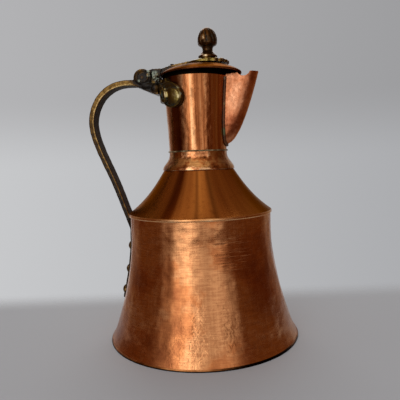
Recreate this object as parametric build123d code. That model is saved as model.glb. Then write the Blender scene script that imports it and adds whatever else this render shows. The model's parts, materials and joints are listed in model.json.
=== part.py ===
from build123d import *
from math import atan, cos, degrees, pi, radians, sin, sqrt
import os

# Copper ewer with a hinged lid. +Z is up, +X points to the spout and -X to the handle.
# The origin is the centre of the flat underside. All sizes are in millimetres.

# Overall sizes
foot_radius = 103.4  # outside of the lip round the base
waist_radius = 77.0  # outside of the skirt where its flare has died out
waist_drop = 21.8  # from the ridge down to where the flare begins
ridge_height = 136.8  # top of the skirt, under the ridge
shoulder_lap = 4.0  # how far the shoulder runs up inside the collar
collar_rise = 65.0  # from the ridge to the solder line between collar and neck
neck_length = 76.7  # from the solder line to the neck's rim
neck_foot_radius = 31.6
neck_rim_radius = 35.4

# Sheet and joints between sheets
base_wall = 1.2
lip_wall = 1.0
lip_height = 3.4
skirt_wall = 1.2
shoulder_wall = 1.2
ridge_hook = 2.6  # how far the shoulder's hook hangs down outside the skirt
hook_wall = 1.2
collar_wall = 1.0
neck_wall = 1.2
lap_gap = 0.1  # between sheets that are soldered together
sleeve_length = 4.8  # the neck's foot, let into the collar
sleeve_wall = 1.0
solder_leg = 3.0  # legs of the solder fillets inside the vessel
foot_chamfer = 0.8  # on the lower edge of the base plate
ridge_edge = 0.4  # chamfer on the lower edge of the shoulder's hook
joggle_rise = 3.0  # height over which the neck's foot steps in on its inside
flare_power = 1.7  # how quickly the skirt's flare dies out
shoulder_straightness = 0.72  # 1 is a plain cone

# Lower part of the neck
collar_flare = 7.9  # how much wider its foot is than its top
collar_height = 19.8  # from its lapped lower edge to the solder line
solder_ring_height = 1.5
solder_ring_proud = 0.8

# Spout
spout_half_width = 13.0
spout_foot_half_width = 7.0
spout_wall = 1.2
spout_reach = 32.2  # from the neck's rim to the tip
spout_foot_rise = 6.3  # from the solder line to the bottom of the spout's foot
spout_tip_above_rim = 4.4
spout_root_above_rim = 2.2
spout_curve = 0.57  # power of the nose line, which leaves the neck nearly level
dip_radius = 6.5  # worn place in the near side's edge
dip_depth = 4.2
dip_from_tip = 15.5
spout_seam_width = 1.6
spout_steps = 12  # level sections between the foot and the tip
spout_root_depth = 20.0  # how far the drawn core reaches in past the neck's wall
spout_foot_blend = 0.35  # share of the height over which the spout reaches its full width

# Hinge
hinge_reach = 21.2  # from the neck's rim back to the pin's axis
pin_above_rim = 3.7
pin_radius = 2.0
pin_fit = 0.02  # held tight in the cheeks
pin_running_fit = 0.08
cheek_radius = 9.8
cheek_half_width = 9.6
knuckle_radius = 7.4
knuckle_half_width = 4.9
hinge_side_gap = 0.35
hinge_trough_gap = 0.6
pin_head_radius = 3.4
pin_head_height = 1.1

# Handle
strap_width = 18.0
strap_thickness = 6.9
strap_foot_thickness = 5.2  # at its lower end
strap_edge = 1.2
handle_bow = 59.8  # from the pin's axis to the middle of the strap at its furthest
handle_top_below_pin = 4.9  # middle of the level top run, below the pin's axis
landing_drop = 16.8  # from the ridge to the strap's lower end, where the tail takes over
landing_sink = 3.2  # how far the strap's inner side has sunk into the skirt's line there
strap_over_ridge = 4.1  # from the ridge out to the middle of the strap
buried_end = 14.0  # the strap is drawn this much further down, inside the skirt's line, and cut off
neck_end_depth = 12.0  # height of the casting where it meets the saddle
root_half_width = 9.3
root_sink = 1.2  # the root's underside starts this far below the strap's
tail_thickness = 2.0
tail_half_width = 9.4
tail_top_drop = 5.3  # from the ridge to the tail's top
tail_gap = 0.1

# Rivets down the tail
tail_rivet_drops = (21.3, 48.0, 72.0)  # below the strap's lower end
tail_rivet_radius = 1.9
tail_rivet_head_radius = 5.6
tail_rivet_head_height = 3.6
tail_end_margin = 11.0
rivet_fit = 0.05
burr_radius = 4.6
burr_thickness = 1.0
peened_radius = 3.0
peened_height = 1.2

# Saddle round the back of the neck
saddle_thickness = 5.0
saddle_angle = 59.0  # from the handle's plane to the middle of each oval pad
pad_half_width = 15.0
pad_half_height = 12.5
pad_below_rim = 20.3
saddle_top_below_rim = 2.6
saddle_band_height = 21.0
boss_half_width = 12.0
boss_half_height = 8.8
boss_height = 3.8
boss_shank_radius = 2.4

# Lid
lid_overhang = 8.0  # how much larger its radius is than the neck's rim
lid_centre_x = 6.2
lid_wall = 1.1
lid_rise = 8.5
lid_power = 3.5  # a high power keeps the crown flat and turns the edge down quickly
lid_above_rim = 5.5  # from the neck's rim to the foot of the dome
lid_bead_radius = 1.0
seat_gap = 0.3
seat_thickness = 1.5
seat_margin = 0.1  # how far the seat ring stops short of the neck's outside
plug_clearance = 0.7  # inside the neck, at the plug's lower end
plug_depth = 4.5
plug_wall = 1.2
mount_gap = 0.1

# Cast arm and plate on the lid
arm_half_width = 6.5
arm_root_half_width = 8.0
arm_start_gap = 0.8  # from the cheeks' round edge to the arm's thick root
arm_start_height = 9.2  # top of the arm above the pin's axis, next to the cheeks
arm_rise = 1.2  # how far the arm stands above the plate where they meet
arm_rivet_sink = 2.8  # the arm's top at the rivet, below its top at the plate
plate_radius = 21.7
plate_off_centre = 9.1  # towards the spout, from the lid's own axis
plate_thickness = 3.3
plate_lobes = 16
lobe_radius = 4.0
hub_radius = 12.5
hub_rise = 3.2

# Finial
finial_off_centre = 8.0  # towards the spout, from the lid's own axis
finial_height = 32.8
finial_foot_radius = 10.3
finial_waist_radius = 5.0
finial_bud_radius = 10.1
finial_shank_radius = 2.5

# Rivet through the arm
arm_rivet_inset = 12.2  # from the lid's back edge
arm_rivet_radius = 1.6
arm_rivet_head_radius = 3.2
arm_rivet_head_height = 1.6

# Heights, radii and places that follow from the sizes above
waist_height = ridge_height - waist_drop
ridge_radius = waist_radius + lap_gap + hook_wall
landing_height = ridge_height - landing_drop
tail_top = ridge_height - tail_top_drop
tail_rivet_heights = [landing_height - drop for drop in tail_rivet_drops]
collar_foot_radius = neck_foot_radius + collar_flare
spout_tip_x = neck_rim_radius + spout_reach
pin_x = -neck_rim_radius - hinge_reach
handle_reach = handle_bow - pin_x
lid_radius = neck_rim_radius + lid_overhang
plate_centre_x = lid_centre_x + plate_off_centre
finial_x = lid_centre_x + finial_off_centre
arm_rivet_x = lid_centre_x - lid_radius + arm_rivet_inset
collar_foot_z = ridge_height + collar_rise - collar_height
solder_line_z = ridge_height + collar_rise
shoulder_top_z = collar_foot_z + shoulder_lap
rim_z = solder_line_z + neck_length
skirt_foot_radius = foot_radius - lip_wall - lap_gap
hook_inner_radius = waist_radius + lap_gap
pin_z = rim_z + pin_above_rim
pin_centre = (pin_x, pin_z)
lid_foot_z = rim_z + lid_above_rim
strap_top_z = pin_z - handle_top_below_pin
saddle_z = rim_z - pad_below_rim


def skirt_radius(z):
    """Outside of the skirt: a flare that dies out at the waist, then a straight wall."""
    share = max(0.0, 1 - z / waist_height)
    return waist_radius + (skirt_foot_radius - waist_radius) * share**flare_power


def collar_radius(z):
    """Outside of the collar: a smooth step from its lapped foot to the neck."""
    share = min(1.0, max(0.0, (z - collar_foot_z) / collar_height))
    return neck_foot_radius + (collar_foot_radius - neck_foot_radius) * (0.5 + 0.5 * cos(pi * share)) ** 1.7


def shoulder_radius(z):
    """Outside of the shoulder: a cone, drawn in a little, that runs on inside the collar."""
    share = (collar_foot_z - z) / (collar_foot_z - ridge_height)
    under_collar = collar_foot_radius - 1.05 * collar_wall - 2 * lap_gap
    bend = shoulder_straightness * share + (1 - shoulder_straightness) * share**3
    return under_collar + (ridge_radius - 0.3 - under_collar) * bend


def neck_radius(z):
    """Outside of the neck, which stands nearly straight and then opens towards its rim."""
    share = min(1.2, max(0.0, (z - solder_line_z) / neck_length))
    return neck_foot_radius + (neck_rim_radius - neck_foot_radius) * share**1.6


def slope(radius, z):
    """Change of radius for each millimetre of height."""
    return radius(z + 0.5) - radius(z - 0.5)


def line_at(radius, low, high, offset=0.0, steps=7):
    """Smooth edge that follows radius(z), moved out by offset measured square to the line."""
    heights = [low + (high - low) * i / steps for i in range(steps + 1)]
    return Spline(*[(radius(z) + offset * sqrt(1 + slope(radius, z) ** 2), 0, z) for z in heights])


def closed(*edges):
    """Face between edges that are given in order, with straight lines in the gaps."""
    outline = []
    for edge, following in zip(edges, edges[1:] + edges[:1]):
        outline.append(edge)
        if (edge @ 1 - following @ 0).length > 1e-6:
            outline.append(Line(edge @ 1, following @ 0))
    return make_face(outline)


def band(radius, low, high, inner, outer):
    """Ring of sheet between two offsets from the line radius(z)."""
    face = closed(line_at(radius, low, high, outer), line_at(radius, high, low, inner))
    return revolve(face, axis=Axis.Z)


def filled(radius, low, high, offset=0.0):
    """Solid of revolution inside the line radius(z)."""
    side = line_at(radius, low, high, offset)
    return revolve(closed(side, Line((0, 0, high), (0, 0, low))), axis=Axis.Z)


def turned(points):
    """Solid of revolution about the Z axis from straight runs through (radius, height) points."""
    return revolve(make_face(Polyline(*[(r, 0, z) for r, z in points], close=True)), axis=Axis.Z)


def ring(inner, outer, low, high):
    """Plain flat-sided ring about the Z axis."""
    return turned([(inner, low), (outer, low), (outer, high), (inner, high)])


def cheek_disc(centre, radius, half_width):
    """Disc about a line along Y."""
    x, z = centre
    return Pos(x, 0, z) * Rot(90, 0, 0) * Cylinder(radius, 2 * half_width)


def slab(points, half_width):
    """Straight-sided plate across Y from (x, z) points."""
    face = make_face(Polyline(*[(x, 0, z) for x, z in points], close=True))
    return extrude(face, amount=half_width, dir=(0, 1, 0), both=True)


def domed_head(radius, height):
    """Rivet head on the XY plane, the cap of a sphere."""
    ball = (radius**2 + height**2) / (2 * height)
    return Pos(0, 0, height - ball) * Sphere(ball) & Pos(0, 0, height) * Box(4 * radius, 4 * radius, 2 * height)


def make_base_plate():
    """Flat disc with its edge turned up outside the foot of the skirt."""
    inner = skirt_radius(lip_height) + lap_gap
    return turned([
        (0, 0),
        (foot_radius - foot_chamfer, 0),
        (foot_radius, foot_chamfer),
        (inner + lip_wall, lip_height),
        (inner, lip_height),
        (skirt_foot_radius + lap_gap, base_wall),
        (0, base_wall),
    ])


def make_skirt():
    skirt = band(skirt_radius, base_wall, ridge_height, -skirt_wall, 0.0)
    for z in tail_rivet_heights:
        skirt -= tail_place(z) * Cylinder(tail_rivet_radius + rivet_fit, 30)
    return skirt


def make_shoulder():
    """Concave cone whose lower edge hooks over the skirt."""
    cone = band(shoulder_radius, ridge_height, shoulder_top_z, -shoulder_wall, 0.0)
    hook = turned([
        (hook_inner_radius, ridge_height - ridge_hook),
        (ridge_radius - ridge_edge, ridge_height - ridge_hook),
        (ridge_radius, ridge_height - ridge_hook + ridge_edge),
        (ridge_radius, ridge_height),
        (ridge_radius - 0.5, ridge_height + 0.5),
        (hook_inner_radius - 0.6, ridge_height + 0.8),
        (hook_inner_radius - 0.9, ridge_height),
        (hook_inner_radius, ridge_height),
    ])
    return cone + hook


def make_neck_collar():
    return band(collar_radius, collar_foot_z, solder_line_z, -collar_wall, 0.0)


def make_neck_solder_ring():
    """Half-round line of solder over the joint between collar and neck."""
    inner = neck_foot_radius + lap_gap
    half = solder_ring_height / 2
    arc = ThreePointArc(
        (inner, 0, solder_line_z - half),
        (inner + solder_ring_proud, 0, solder_line_z),
        (inner, 0, solder_line_z + half),
    )
    return revolve(closed(arc), axis=Axis.Z)


def make_neck():
    """Flaring tube whose foot steps in to sit inside the collar, open behind the spout."""
    step_z = solder_line_z + lap_gap
    sleeve_outer = neck_foot_radius - collar_wall - lap_gap
    sleeve_inner = sleeve_outer - sleeve_wall
    sleeve_foot_z = solder_line_z - sleeve_length
    joggle_z = step_z + joggle_rise
    neck = revolve(
        closed(
            Polyline((sleeve_inner, 0, sleeve_foot_z), (sleeve_outer, 0, sleeve_foot_z), (sleeve_outer, 0, step_z)),
            line_at(neck_radius, step_z, rim_z),
            line_at(neck_radius, rim_z, joggle_z, -neck_wall),
            Line((sleeve_inner, 0, step_z - 0.5), (sleeve_inner, 0, sleeve_foot_z + 1)),
        ),
        axis=Axis.Z,
    )
    notch = spout_core(spout_wall) & Pos(spout_tip_x, 0, rim_z) * Box(2 * spout_tip_x - 20, 100, 300)
    neck -= notch
    for side in (-1, 1):
        neck -= boss_place(side) * Cylinder(boss_shank_radius + rivet_fit, 30)
    return neck


def nose_x(z):
    """Front line of the spout, seen from the side."""
    foot_z = solder_line_z + spout_foot_rise
    tip_z = rim_z + spout_tip_above_rim
    share = max(0.0, (z - foot_z) / (tip_z - foot_z))
    start = neck_radius(foot_z) + 0.5
    return start + (spout_tip_x - start) * share**spout_curve


def spout_core(inset):
    """Space inside the spout's outline, drawn in by inset, from inside the neck to above the lip."""
    foot_z = solder_line_z + spout_foot_rise
    height = rim_z + spout_tip_above_rim - foot_z
    sections = []
    for step in range(-1, spout_steps + 2):
        share = -0.05 if step < 0 else (step / spout_steps) ** 1.5 + 0.004
        z = foot_z + height * share
        grown = min(1.0, (share + 0.05) / spout_foot_blend) ** 0.5
        half = spout_foot_half_width + (spout_half_width - spout_foot_half_width) * grown - inset
        nose = nose_x(z) - (6.0 if step < 0 else 0.0) - inset
        back = neck_foot_radius - spout_root_depth
        straight = Polyline((nose - half, half), (back, half), (back, -half), (nose - half, -half))
        arc = ThreePointArc((nose - half, -half), (nose, 0), (nose - half, half))
        sections.append(Pos(0, 0, z + 0.7 * inset) * make_face(straight + arc))
    return loft(sections, ruled=True)


def make_spout():
    """Beak of bent sheet against the outside of the neck, cut off by a nearly level lip."""
    beak = spout_core(0.0) - spout_core(spout_wall)
    beak -= filled(neck_radius, solder_line_z - 20, rim_z + 20, lap_gap)
    root_z = rim_z + spout_root_above_rim
    tip_z = rim_z + spout_tip_above_rim
    root_x = neck_rim_radius
    rise = (tip_z - root_z) / (spout_tip_x - root_x)
    above = [
        (root_x - 40, root_z - 40 * rise),
        (spout_tip_x + 40, tip_z + 40 * rise),
        (spout_tip_x + 40, tip_z + 80),
        (root_x - 40, tip_z + 80),
    ]
    beak -= slab(above, 60)
    dip_x = spout_tip_x - dip_from_tip
    dip_z = root_z + rise * (dip_x - root_x) + dip_radius - dip_depth
    beak -= Pos(0, -spout_half_width, 0) * cheek_disc((dip_x, dip_z), dip_radius, spout_half_width / 2)
    return beak.solids().sort_by(SortBy.VOLUME)[-1]


def make_spout_solder():
    """One seam of solder up both sides of the spout and round its foot."""
    seam = spout_core(-spout_seam_width) - spout_core(-lap_gap)
    seam &= band(neck_radius, solder_line_z + 2, rim_z - 1, lap_gap, spout_seam_width)
    seam &= Pos(50, 0, rim_z - 40) * Box(100, 100, 120)
    return seam.solids().sort_by(SortBy.VOLUME)[-1]


def tail_place(z):
    """Place square to the skirt at the back, with its own Z pointing outwards."""
    tilt = degrees(atan(slope(skirt_radius, z)))
    return Pos(-skirt_radius(z), 0, z) * Rot(0, -90 - tilt, 0)


def boss_place(side):
    """Place square to the neck in the middle of an oval pad, with its own Z pointing outwards."""
    angle = 180 + side * saddle_angle
    tilt = degrees(atan(slope(neck_radius, saddle_z)))
    return Rot(0, 0, angle) * Pos(neck_radius(saddle_z), 0, saddle_z) * Rot(0, 90 + tilt, 0)


def strap_line():
    """Middle of the strap in the XZ plane, from the hinge round to the skirt."""
    land_x = skirt_radius(landing_height) + strap_foot_thickness / 2 - landing_sink
    span_x = handle_reach - land_x
    span_z = strap_top_z - landing_height
    shape = (
        (0.17, 1.0),
        (0.47, 0.973),
        (0.74, 0.917),
        (0.92, 0.84),
        (1.0, 0.757),
        (0.945, 0.642),
        (0.73, 0.49),
        (0.44, 0.315),
    )
    points = [(pin_x, strap_top_z)] + [(-land_x - span_x * sx, landing_height + span_z * sz) for sx, sz in shape]
    points.append((-ridge_radius - strap_over_ridge, ridge_height))
    points.append((-land_x, landing_height))
    points.append((-land_x + buried_end * 0.25, landing_height - buried_end))
    return Spline(*[(x, 0, z) for x, z in points], tangents=[(-1, 0, 0), (0.25, 0, -1)])


def strap_side(line, side, steps=22):
    """Edge of the strap's side view, half its thickness from the middle line, thinner towards the foot."""
    points = []
    for i in range(steps + 1):
        share = i / steps
        half = (strap_thickness + (strap_foot_thickness - strap_thickness) * share) / 2
        way = line % share
        points.append(line @ share + Vector(-way.Z, 0, way.X) * side * half)
    return Spline(*points)


def make_handle():
    """One casting: strap, hinge cheeks, the end against the saddle and the riveted tail."""
    line = strap_line()
    half = strap_thickness / 2
    outer = strap_side(line, -1)
    inner = strap_side(line, 1)
    face = make_face([outer, Line(outer @ 1, inner @ 1), inner, Line(inner @ 0, outer @ 0)])
    strap = extrude(face, amount=strap_width / 2, dir=(0, 1, 0), both=True)
    strap = fillet([e for e in strap.edges() if e.length > 100], strap_edge)
    neck_end = -neck_radius(rim_z) - saddle_thickness + 1.0
    root_top = rim_z - saddle_top_below_rim
    root = slab(
        [
            (pin_x - 16, strap_top_z),
            (pin_x - 6, strap_top_z - half - root_sink),
            (neck_end - 4, root_top - neck_end_depth),
            (neck_end, root_top - neck_end_depth),
            (neck_end, root_top),
            (pin_x + 8, root_top + 1.0),
            (pin_x + 2, pin_z),
        ],
        root_half_width,
    )
    cheeks = cheek_disc(pin_centre, cheek_radius, cheek_half_width)
    trough = cheek_disc(pin_centre, knuckle_radius + hinge_trough_gap, knuckle_half_width + hinge_side_gap)
    sweep_room = slab(
        [
            (pin_x, pin_z - 2),
            (pin_x + 30, pin_z - 2),
            (pin_x + 30, pin_z + 30),
            (pin_x - 26, pin_z + 30),
            (pin_x - knuckle_radius - hinge_trough_gap, pin_z),
        ],
        knuckle_half_width + hinge_side_gap,
    )
    body = strap + root + cheeks
    body -= trough
    body -= sweep_room
    body -= cheek_disc(pin_centre, pin_radius + pin_fit, cheek_half_width + 5)
    body -= band(neck_radius, saddle_z - 30, rim_z + 5, -30, saddle_thickness + 2 * lap_gap)
    body += make_tail()
    body -= filled(skirt_radius, 10, ridge_height - ridge_hook, tail_gap)
    body -= ring(waist_radius - 10, ridge_radius + tail_gap, ridge_height - ridge_hook - 1, ridge_height + 1.2)
    for z in tail_rivet_heights:
        body -= tail_place(z) * Cylinder(tail_rivet_radius + rivet_fit, 30)
    return body.solids().sort_by(SortBy.VOLUME)[-1]


def make_tail():
    """Thin tongue down the back of the skirt, rounded at its end."""
    low = tail_rivet_heights[-1]
    shell = band(skirt_radius, low - 2 * tail_end_margin, tail_top, tail_gap, tail_gap + tail_thickness)
    tongue = Pos(-100, 0, (low + tail_top) / 2) * Box(200, 2 * tail_half_width, tail_top - low)
    end = Pos(-100, 0, low) * Rot(0, 90, 0) * Cylinder(tail_end_margin - 1, 200)
    return shell & (tongue + end)


def make_tail_rivets():
    """Domed heads outside the tail, with shanks peened inside the skirt."""
    outside = tail_gap + tail_thickness
    inside = skirt_wall + lap_gap + burr_thickness
    rivets = []
    for z in tail_rivet_heights:
        head = Pos(0, 0, outside + lap_gap) * domed_head(tail_rivet_head_radius, tail_rivet_head_height)
        shank = Pos(0, 0, (outside - inside) / 2) * Cylinder(tail_rivet_radius, outside + inside + 2 * lap_gap)
        end = Pos(0, 0, -inside - lap_gap) * Rot(180, 0, 0) * domed_head(peened_radius, peened_height)
        rivets.append(tail_place(z) * (head + shank + end))
    return rivets


def burr(radius, hole):
    """Washer on the XY plane, reaching down from it."""
    return Pos(0, 0, -burr_thickness / 2) * (Cylinder(radius, burr_thickness) - Cylinder(hole, burr_thickness))


def make_tail_burrs():
    """Washers inside the skirt, one under each peened end, sunk just clear of the curved wall."""
    sag = skirt_radius(waist_height) - sqrt(skirt_radius(waist_height) ** 2 - burr_radius**2)
    seat = Pos(0, 0, -skirt_wall - lap_gap)
    washers = []
    for z in tail_rivet_heights:
        washer = burr(burr_radius, tail_rivet_radius + rivet_fit)
        place = tail_place(z) * seat
        washers.append(place * washer - band(skirt_radius, z - 20, z + 20, -skirt_wall - lap_gap / 2, sag + 2))
    return washers


def make_base_solder():
    """Fillet of solder inside, between skirt and base plate."""
    outer = skirt_radius(base_wall) - skirt_wall * 1.2
    top = skirt_radius(base_wall + solder_leg) - skirt_wall * 1.2
    low = base_wall + lap_gap
    return turned([(outer - solder_leg, low), (outer, low), (top, base_wall + solder_leg)])


def make_ridge_solder():
    """Fillet of solder inside, in the corner between the skirt and the shoulder."""
    outer = waist_radius - skirt_wall - lap_gap
    low = ridge_height - solder_leg
    inner_top = shoulder_radius(ridge_height) - shoulder_wall * sqrt(1 + slope(shoulder_radius, ridge_height) ** 2)
    return turned([(outer, low), (outer, ridge_height - lap_gap), (inner_top - solder_leg, ridge_height - lap_gap)])


def make_neck_saddle():
    """Strap hugging the back of the neck, with an oval pad on each side."""
    low, high = saddle_z - pad_half_height - 2, rim_z - saddle_top_below_rim
    shell = band(neck_radius, low, high, lap_gap, lap_gap + saddle_thickness)
    span = neck_radius(saddle_z) * sin(radians(saddle_angle))
    outline = [
        (-span, saddle_z - 0.5 * pad_half_height),
        (-0.35 * span, high - saddle_band_height),
        (0.35 * span, high - saddle_band_height),
        (span, saddle_z - 0.5 * pad_half_height),
        (span, saddle_z + 0.6 * pad_half_height),
        (0.4 * span, high),
        (-0.4 * span, high),
        (-span, saddle_z + 0.6 * pad_half_height),
    ]
    face = make_face(Polyline(*[(0, y, z) for y, z in outline], close=True))
    keep = extrude(face, amount=100, dir=(-1, 0, 0))
    for side in (-1, 1):
        keep += boss_place(side) * extrude(Ellipse(pad_half_height, pad_half_width), amount=20, both=True)
    saddle = shell & keep
    for side in (-1, 1):
        saddle -= boss_place(side) * Cylinder(boss_shank_radius + rivet_fit, 30)
    return saddle.solids().sort_by(SortBy.VOLUME)[-1]


def make_saddle_bosses():
    """Domed ovals over the pads, with shanks through pad and neck, peened inside."""
    outside = 2 * lap_gap + saddle_thickness
    inside = neck_wall + lap_gap + burr_thickness + 0.6
    bosses = []
    for side in (-1, 1):
        dome = scale(domed_head(boss_half_width, boss_height), by=(boss_half_height / boss_half_width, 1, 1))
        skirt_of_dome = extrude(Ellipse(boss_half_height, boss_half_width), amount=-4)
        shank = Pos(0, 0, (outside + 1.5 - inside) / 2) * Cylinder(boss_shank_radius, outside + 1.5 + inside)
        end = Pos(0, 0, -inside) * Rot(180, 0, 0) * domed_head(boss_shank_radius + 1, peened_height)
        seat = band(neck_radius, saddle_z - 30, rim_z, -20, outside)
        cap = boss_place(side) * (Pos(0, 0, outside) * (dome + skirt_of_dome)) - seat
        bosses.append(cap + boss_place(side) * (shank + end))
    return bosses


def make_saddle_burrs():
    """Washers inside the neck, one under each boss's peened shank."""
    inside = neck_wall + lap_gap
    washers = []
    for side in (-1, 1):
        washer = Pos(0, 0, -inside) * burr(burr_radius, boss_shank_radius + rivet_fit)
        washer = boss_place(side) * Pos(0, 0, -0.5) * washer
        washers.append(washer - band(neck_radius, saddle_z - 20, rim_z, -inside, 10))
    return washers


def make_hinge_pin():
    """Pin through cheeks and knuckle, with a flat domed end on each side."""
    pin = cheek_disc(pin_centre, pin_radius, cheek_half_width + 2 * lap_gap)
    head = Pos(0, 0, cheek_half_width + lap_gap) * domed_head(pin_head_radius, pin_head_height)
    for turn in (90, -90):
        pin += Pos(pin_x, 0, pin_z) * Rot(turn, 0, 0) * head
    return pin


def lid_height(r):
    """Height of the dome's outside above its foot, r from the lid's own axis."""
    return lid_rise * (1 - (r / lid_radius) ** lid_power)


def lid_face(offset, reach=lid_radius, steps=8):
    """Upper line of the dome, moved out by offset, from its axis to its edge."""
    radii = [reach * i / steps for i in range(steps + 1)]
    return [(r, 0, lid_foot_z + lid_height(r) + offset) for r in radii]


def under_dome(offset):
    """Solid that fills the space below the dome's upper face."""
    top = Spline(*lid_face(offset))
    floor = Polyline(top @ 1, (lid_radius, 0, lid_foot_z - 40), (0, 0, lid_foot_z - 40), (0, 0, top.position_at(0).Z))
    return Pos(lid_centre_x, 0, 0) * revolve(make_face([top] + floor.edges()), axis=Axis.Z)


def make_lid_dome():
    """Shallow dome with a rolled rim."""
    bead_x = lid_radius - lid_bead_radius
    shell = under_dome(0) - under_dome(-lid_wall)
    bead_place = Pos(bead_x, 0, lid_foot_z - lid_bead_radius + 0.4) * Rot(90, 0, 0)
    bead = revolve(bead_place * Circle(lid_bead_radius), axis=Axis.Z)
    limit = Pos(lid_centre_x, 0, lid_foot_z) * Cylinder(lid_radius, 60)
    above = Pos(lid_centre_x, 0, lid_foot_z - 0.6 + 30) * Cylinder(2 * lid_radius, 60)
    dome = (shell & limit & above) + Pos(lid_centre_x, 0, 0) * bead
    dome -= Pos(finial_x, 0, lid_foot_z) * Cylinder(finial_shank_radius + rivet_fit, 60)
    dome -= Pos(arm_rivet_x, 0, lid_foot_z) * Cylinder(arm_rivet_radius + rivet_fit, 60)
    return dome.solids().sort_by(SortBy.VOLUME)[-1]


def make_lid_flange():
    """Seat ring that rests on the neck's rim, with a wall up to the dome and a short plug below."""
    low = rim_z + seat_gap
    plug_foot_z = rim_z - plug_depth
    wall = neck_wall * sqrt(1 + slope(neck_radius, plug_foot_z) ** 2)
    plug_outer = neck_radius(plug_foot_z) - wall - plug_clearance
    seat = ring(plug_outer - plug_wall, neck_rim_radius - seat_margin, low, low + seat_thickness)
    plug = ring(plug_outer - plug_wall, plug_outer, plug_foot_z, lid_foot_z + lid_rise)
    return (seat + plug) & under_dome(-lid_wall - mount_gap)


def make_lid_strap():
    """One casting: knuckle, thick root, arm over the dome and a plate with a lobed edge."""
    crown_z = lid_foot_z + lid_rise + mount_gap
    plate_top = crown_z + plate_thickness
    arm_top = plate_top + arm_rise
    root_x = pin_x + cheek_radius + arm_start_gap
    edge_x = lid_centre_x - lid_radius
    knuckle = cheek_disc(pin_centre, knuckle_radius, knuckle_half_width)
    root = slab(
        [
            (pin_x, pin_z - 0.6),
            (root_x, pin_z - 0.6),
            (root_x, pin_z + cheek_radius),
            (pin_x + 2, pin_z + knuckle_radius - 0.4),
        ],
        knuckle_half_width,
    )
    block = slab(
        [
            (root_x, pin_z - 0.6),
            (edge_x - 0.5, pin_z + 0.6),
            (edge_x + 2.0, pin_z + arm_start_height),
            (root_x, pin_z + arm_start_height),
        ],
        arm_root_half_width,
    )
    arm = slab(
        [
            (edge_x - 0.5, pin_z + 3.0),
            (finial_x, pin_z + 6.0),
            (finial_x, arm_top),
            (plate_centre_x - plate_radius, arm_top),
            (arm_rivet_x, arm_top - arm_rivet_sink),
            (edge_x + 2.0, pin_z + arm_start_height),
        ],
        arm_half_width,
    )
    plate = Cylinder(plate_radius - 0.6 * lobe_radius, plate_thickness)
    for lobe in range(plate_lobes):
        turn = 360 * lobe / plate_lobes
        plate += Rot(0, 0, turn) * Pos(plate_radius - lobe_radius, 0, 0) * Cylinder(lobe_radius, plate_thickness)
    plate = Pos(plate_centre_x, 0, crown_z + plate_thickness / 2) * plate
    hub = Pos(finial_x, 0, plate_top + hub_rise / 2) * Cone(hub_radius, finial_foot_radius, hub_rise)
    casting = arm + block + plate + hub
    casting -= under_dome(mount_gap)
    bead_room = Pos(lid_centre_x, 0, lid_foot_z - 10) * (Cylinder(lid_radius + mount_gap + 0.2, 22))
    casting -= bead_room
    casting += root + knuckle
    casting -= cheek_disc(pin_centre, pin_radius + pin_running_fit, 20)
    casting -= Pos(finial_x, 0, crown_z) * Cylinder(finial_shank_radius + rivet_fit, 60)
    casting -= Pos(arm_rivet_x, 0, crown_z) * Cylinder(arm_rivet_radius + rivet_fit, 60)
    return casting.solids().sort_by(SortBy.VOLUME)[-1]


def finial_base_z():
    """Top of the hub that the finial stands on."""
    return lid_foot_z + lid_rise + mount_gap + plate_thickness + hub_rise + mount_gap


def make_finial():
    """Bud on a waisted bell foot, with a shank down through plate and dome."""
    low = finial_base_z()
    shape = (
        (finial_foot_radius - 1.0, 0.0),
        (finial_foot_radius, 0.03),
        (finial_foot_radius, 0.085),
        (0.78 * finial_foot_radius, 0.155),
        (finial_waist_radius + 0.4, 0.235),
        (finial_waist_radius, 0.31),
        (finial_waist_radius + 0.8, 0.375),
    )
    widest = 0.57
    bud = [(0.86 * finial_bud_radius, 0.445)]
    for angle in range(0, 91, 15):
        bud.append((finial_bud_radius * cos(radians(angle)), widest + (1 - widest) * sin(radians(angle))))
    foot = Polyline(*[(r, 0, low + finial_height * h) for r, h in ((0.0, 0.0),) + shape])
    head = Spline(*[(r, 0, low + finial_height * h) for r, h in [shape[-1]] + bud])
    body = revolve(make_face(foot.edges() + [head, Line(head @ 1, (0, 0, low))]), axis=Axis.Z)
    under = lid_foot_z + lid_rise - lid_wall - burr_thickness - 2 * mount_gap
    shank = Pos(0, 0, (low + under) / 2) * Cylinder(finial_shank_radius, low - under + 0.4)
    end = Pos(0, 0, under - 0.2) * Rot(180, 0, 0) * domed_head(peened_radius + 0.6, peened_height)
    return Pos(finial_x, 0, 0) * (body + shank + end)


def make_finial_washer():
    """Washer under the dome, over which the finial's shank is peened."""
    top = lid_foot_z + lid_rise - lid_wall - 2 * mount_gap
    washer = Pos(finial_x, 0, top) * burr(burr_radius + 1.4, finial_shank_radius + rivet_fit)
    return washer & under_dome(-lid_wall - mount_gap / 2)


def make_strap_rivet():
    """Rivet through the arm and the dome, headed above and peened below."""
    top = lid_foot_z + lid_rise + mount_gap + plate_thickness
    reach = abs(arm_rivet_x - lid_centre_x) + peened_radius
    under = lid_foot_z + lid_height(reach) - lid_wall - mount_gap
    head = Pos(0, 0, top) * domed_head(arm_rivet_head_radius, arm_rivet_head_height)
    shank = Pos(0, 0, (top + under) / 2) * Cylinder(arm_rivet_radius, top - under)
    end = Pos(0, 0, under) * Rot(180, 0, 0) * domed_head(arm_rivet_radius + 0.8, 0.8)
    return Pos(arm_rivet_x, 0, 0) * (head + shank + end)


def write(name, shape):
    """Write one file for one named piece, or for a group of like pieces."""
    solids = shape if isinstance(shape, list) else [shape]
    parts = [solid for piece in solids for solid in piece.solids()]
    export_step(Compound(children=parts) if len(parts) > 1 else parts[0], f"parts/{name}.step")
    print(name, len(parts), "solids", round(sum(part.volume for part in parts)), "mm3")


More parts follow.
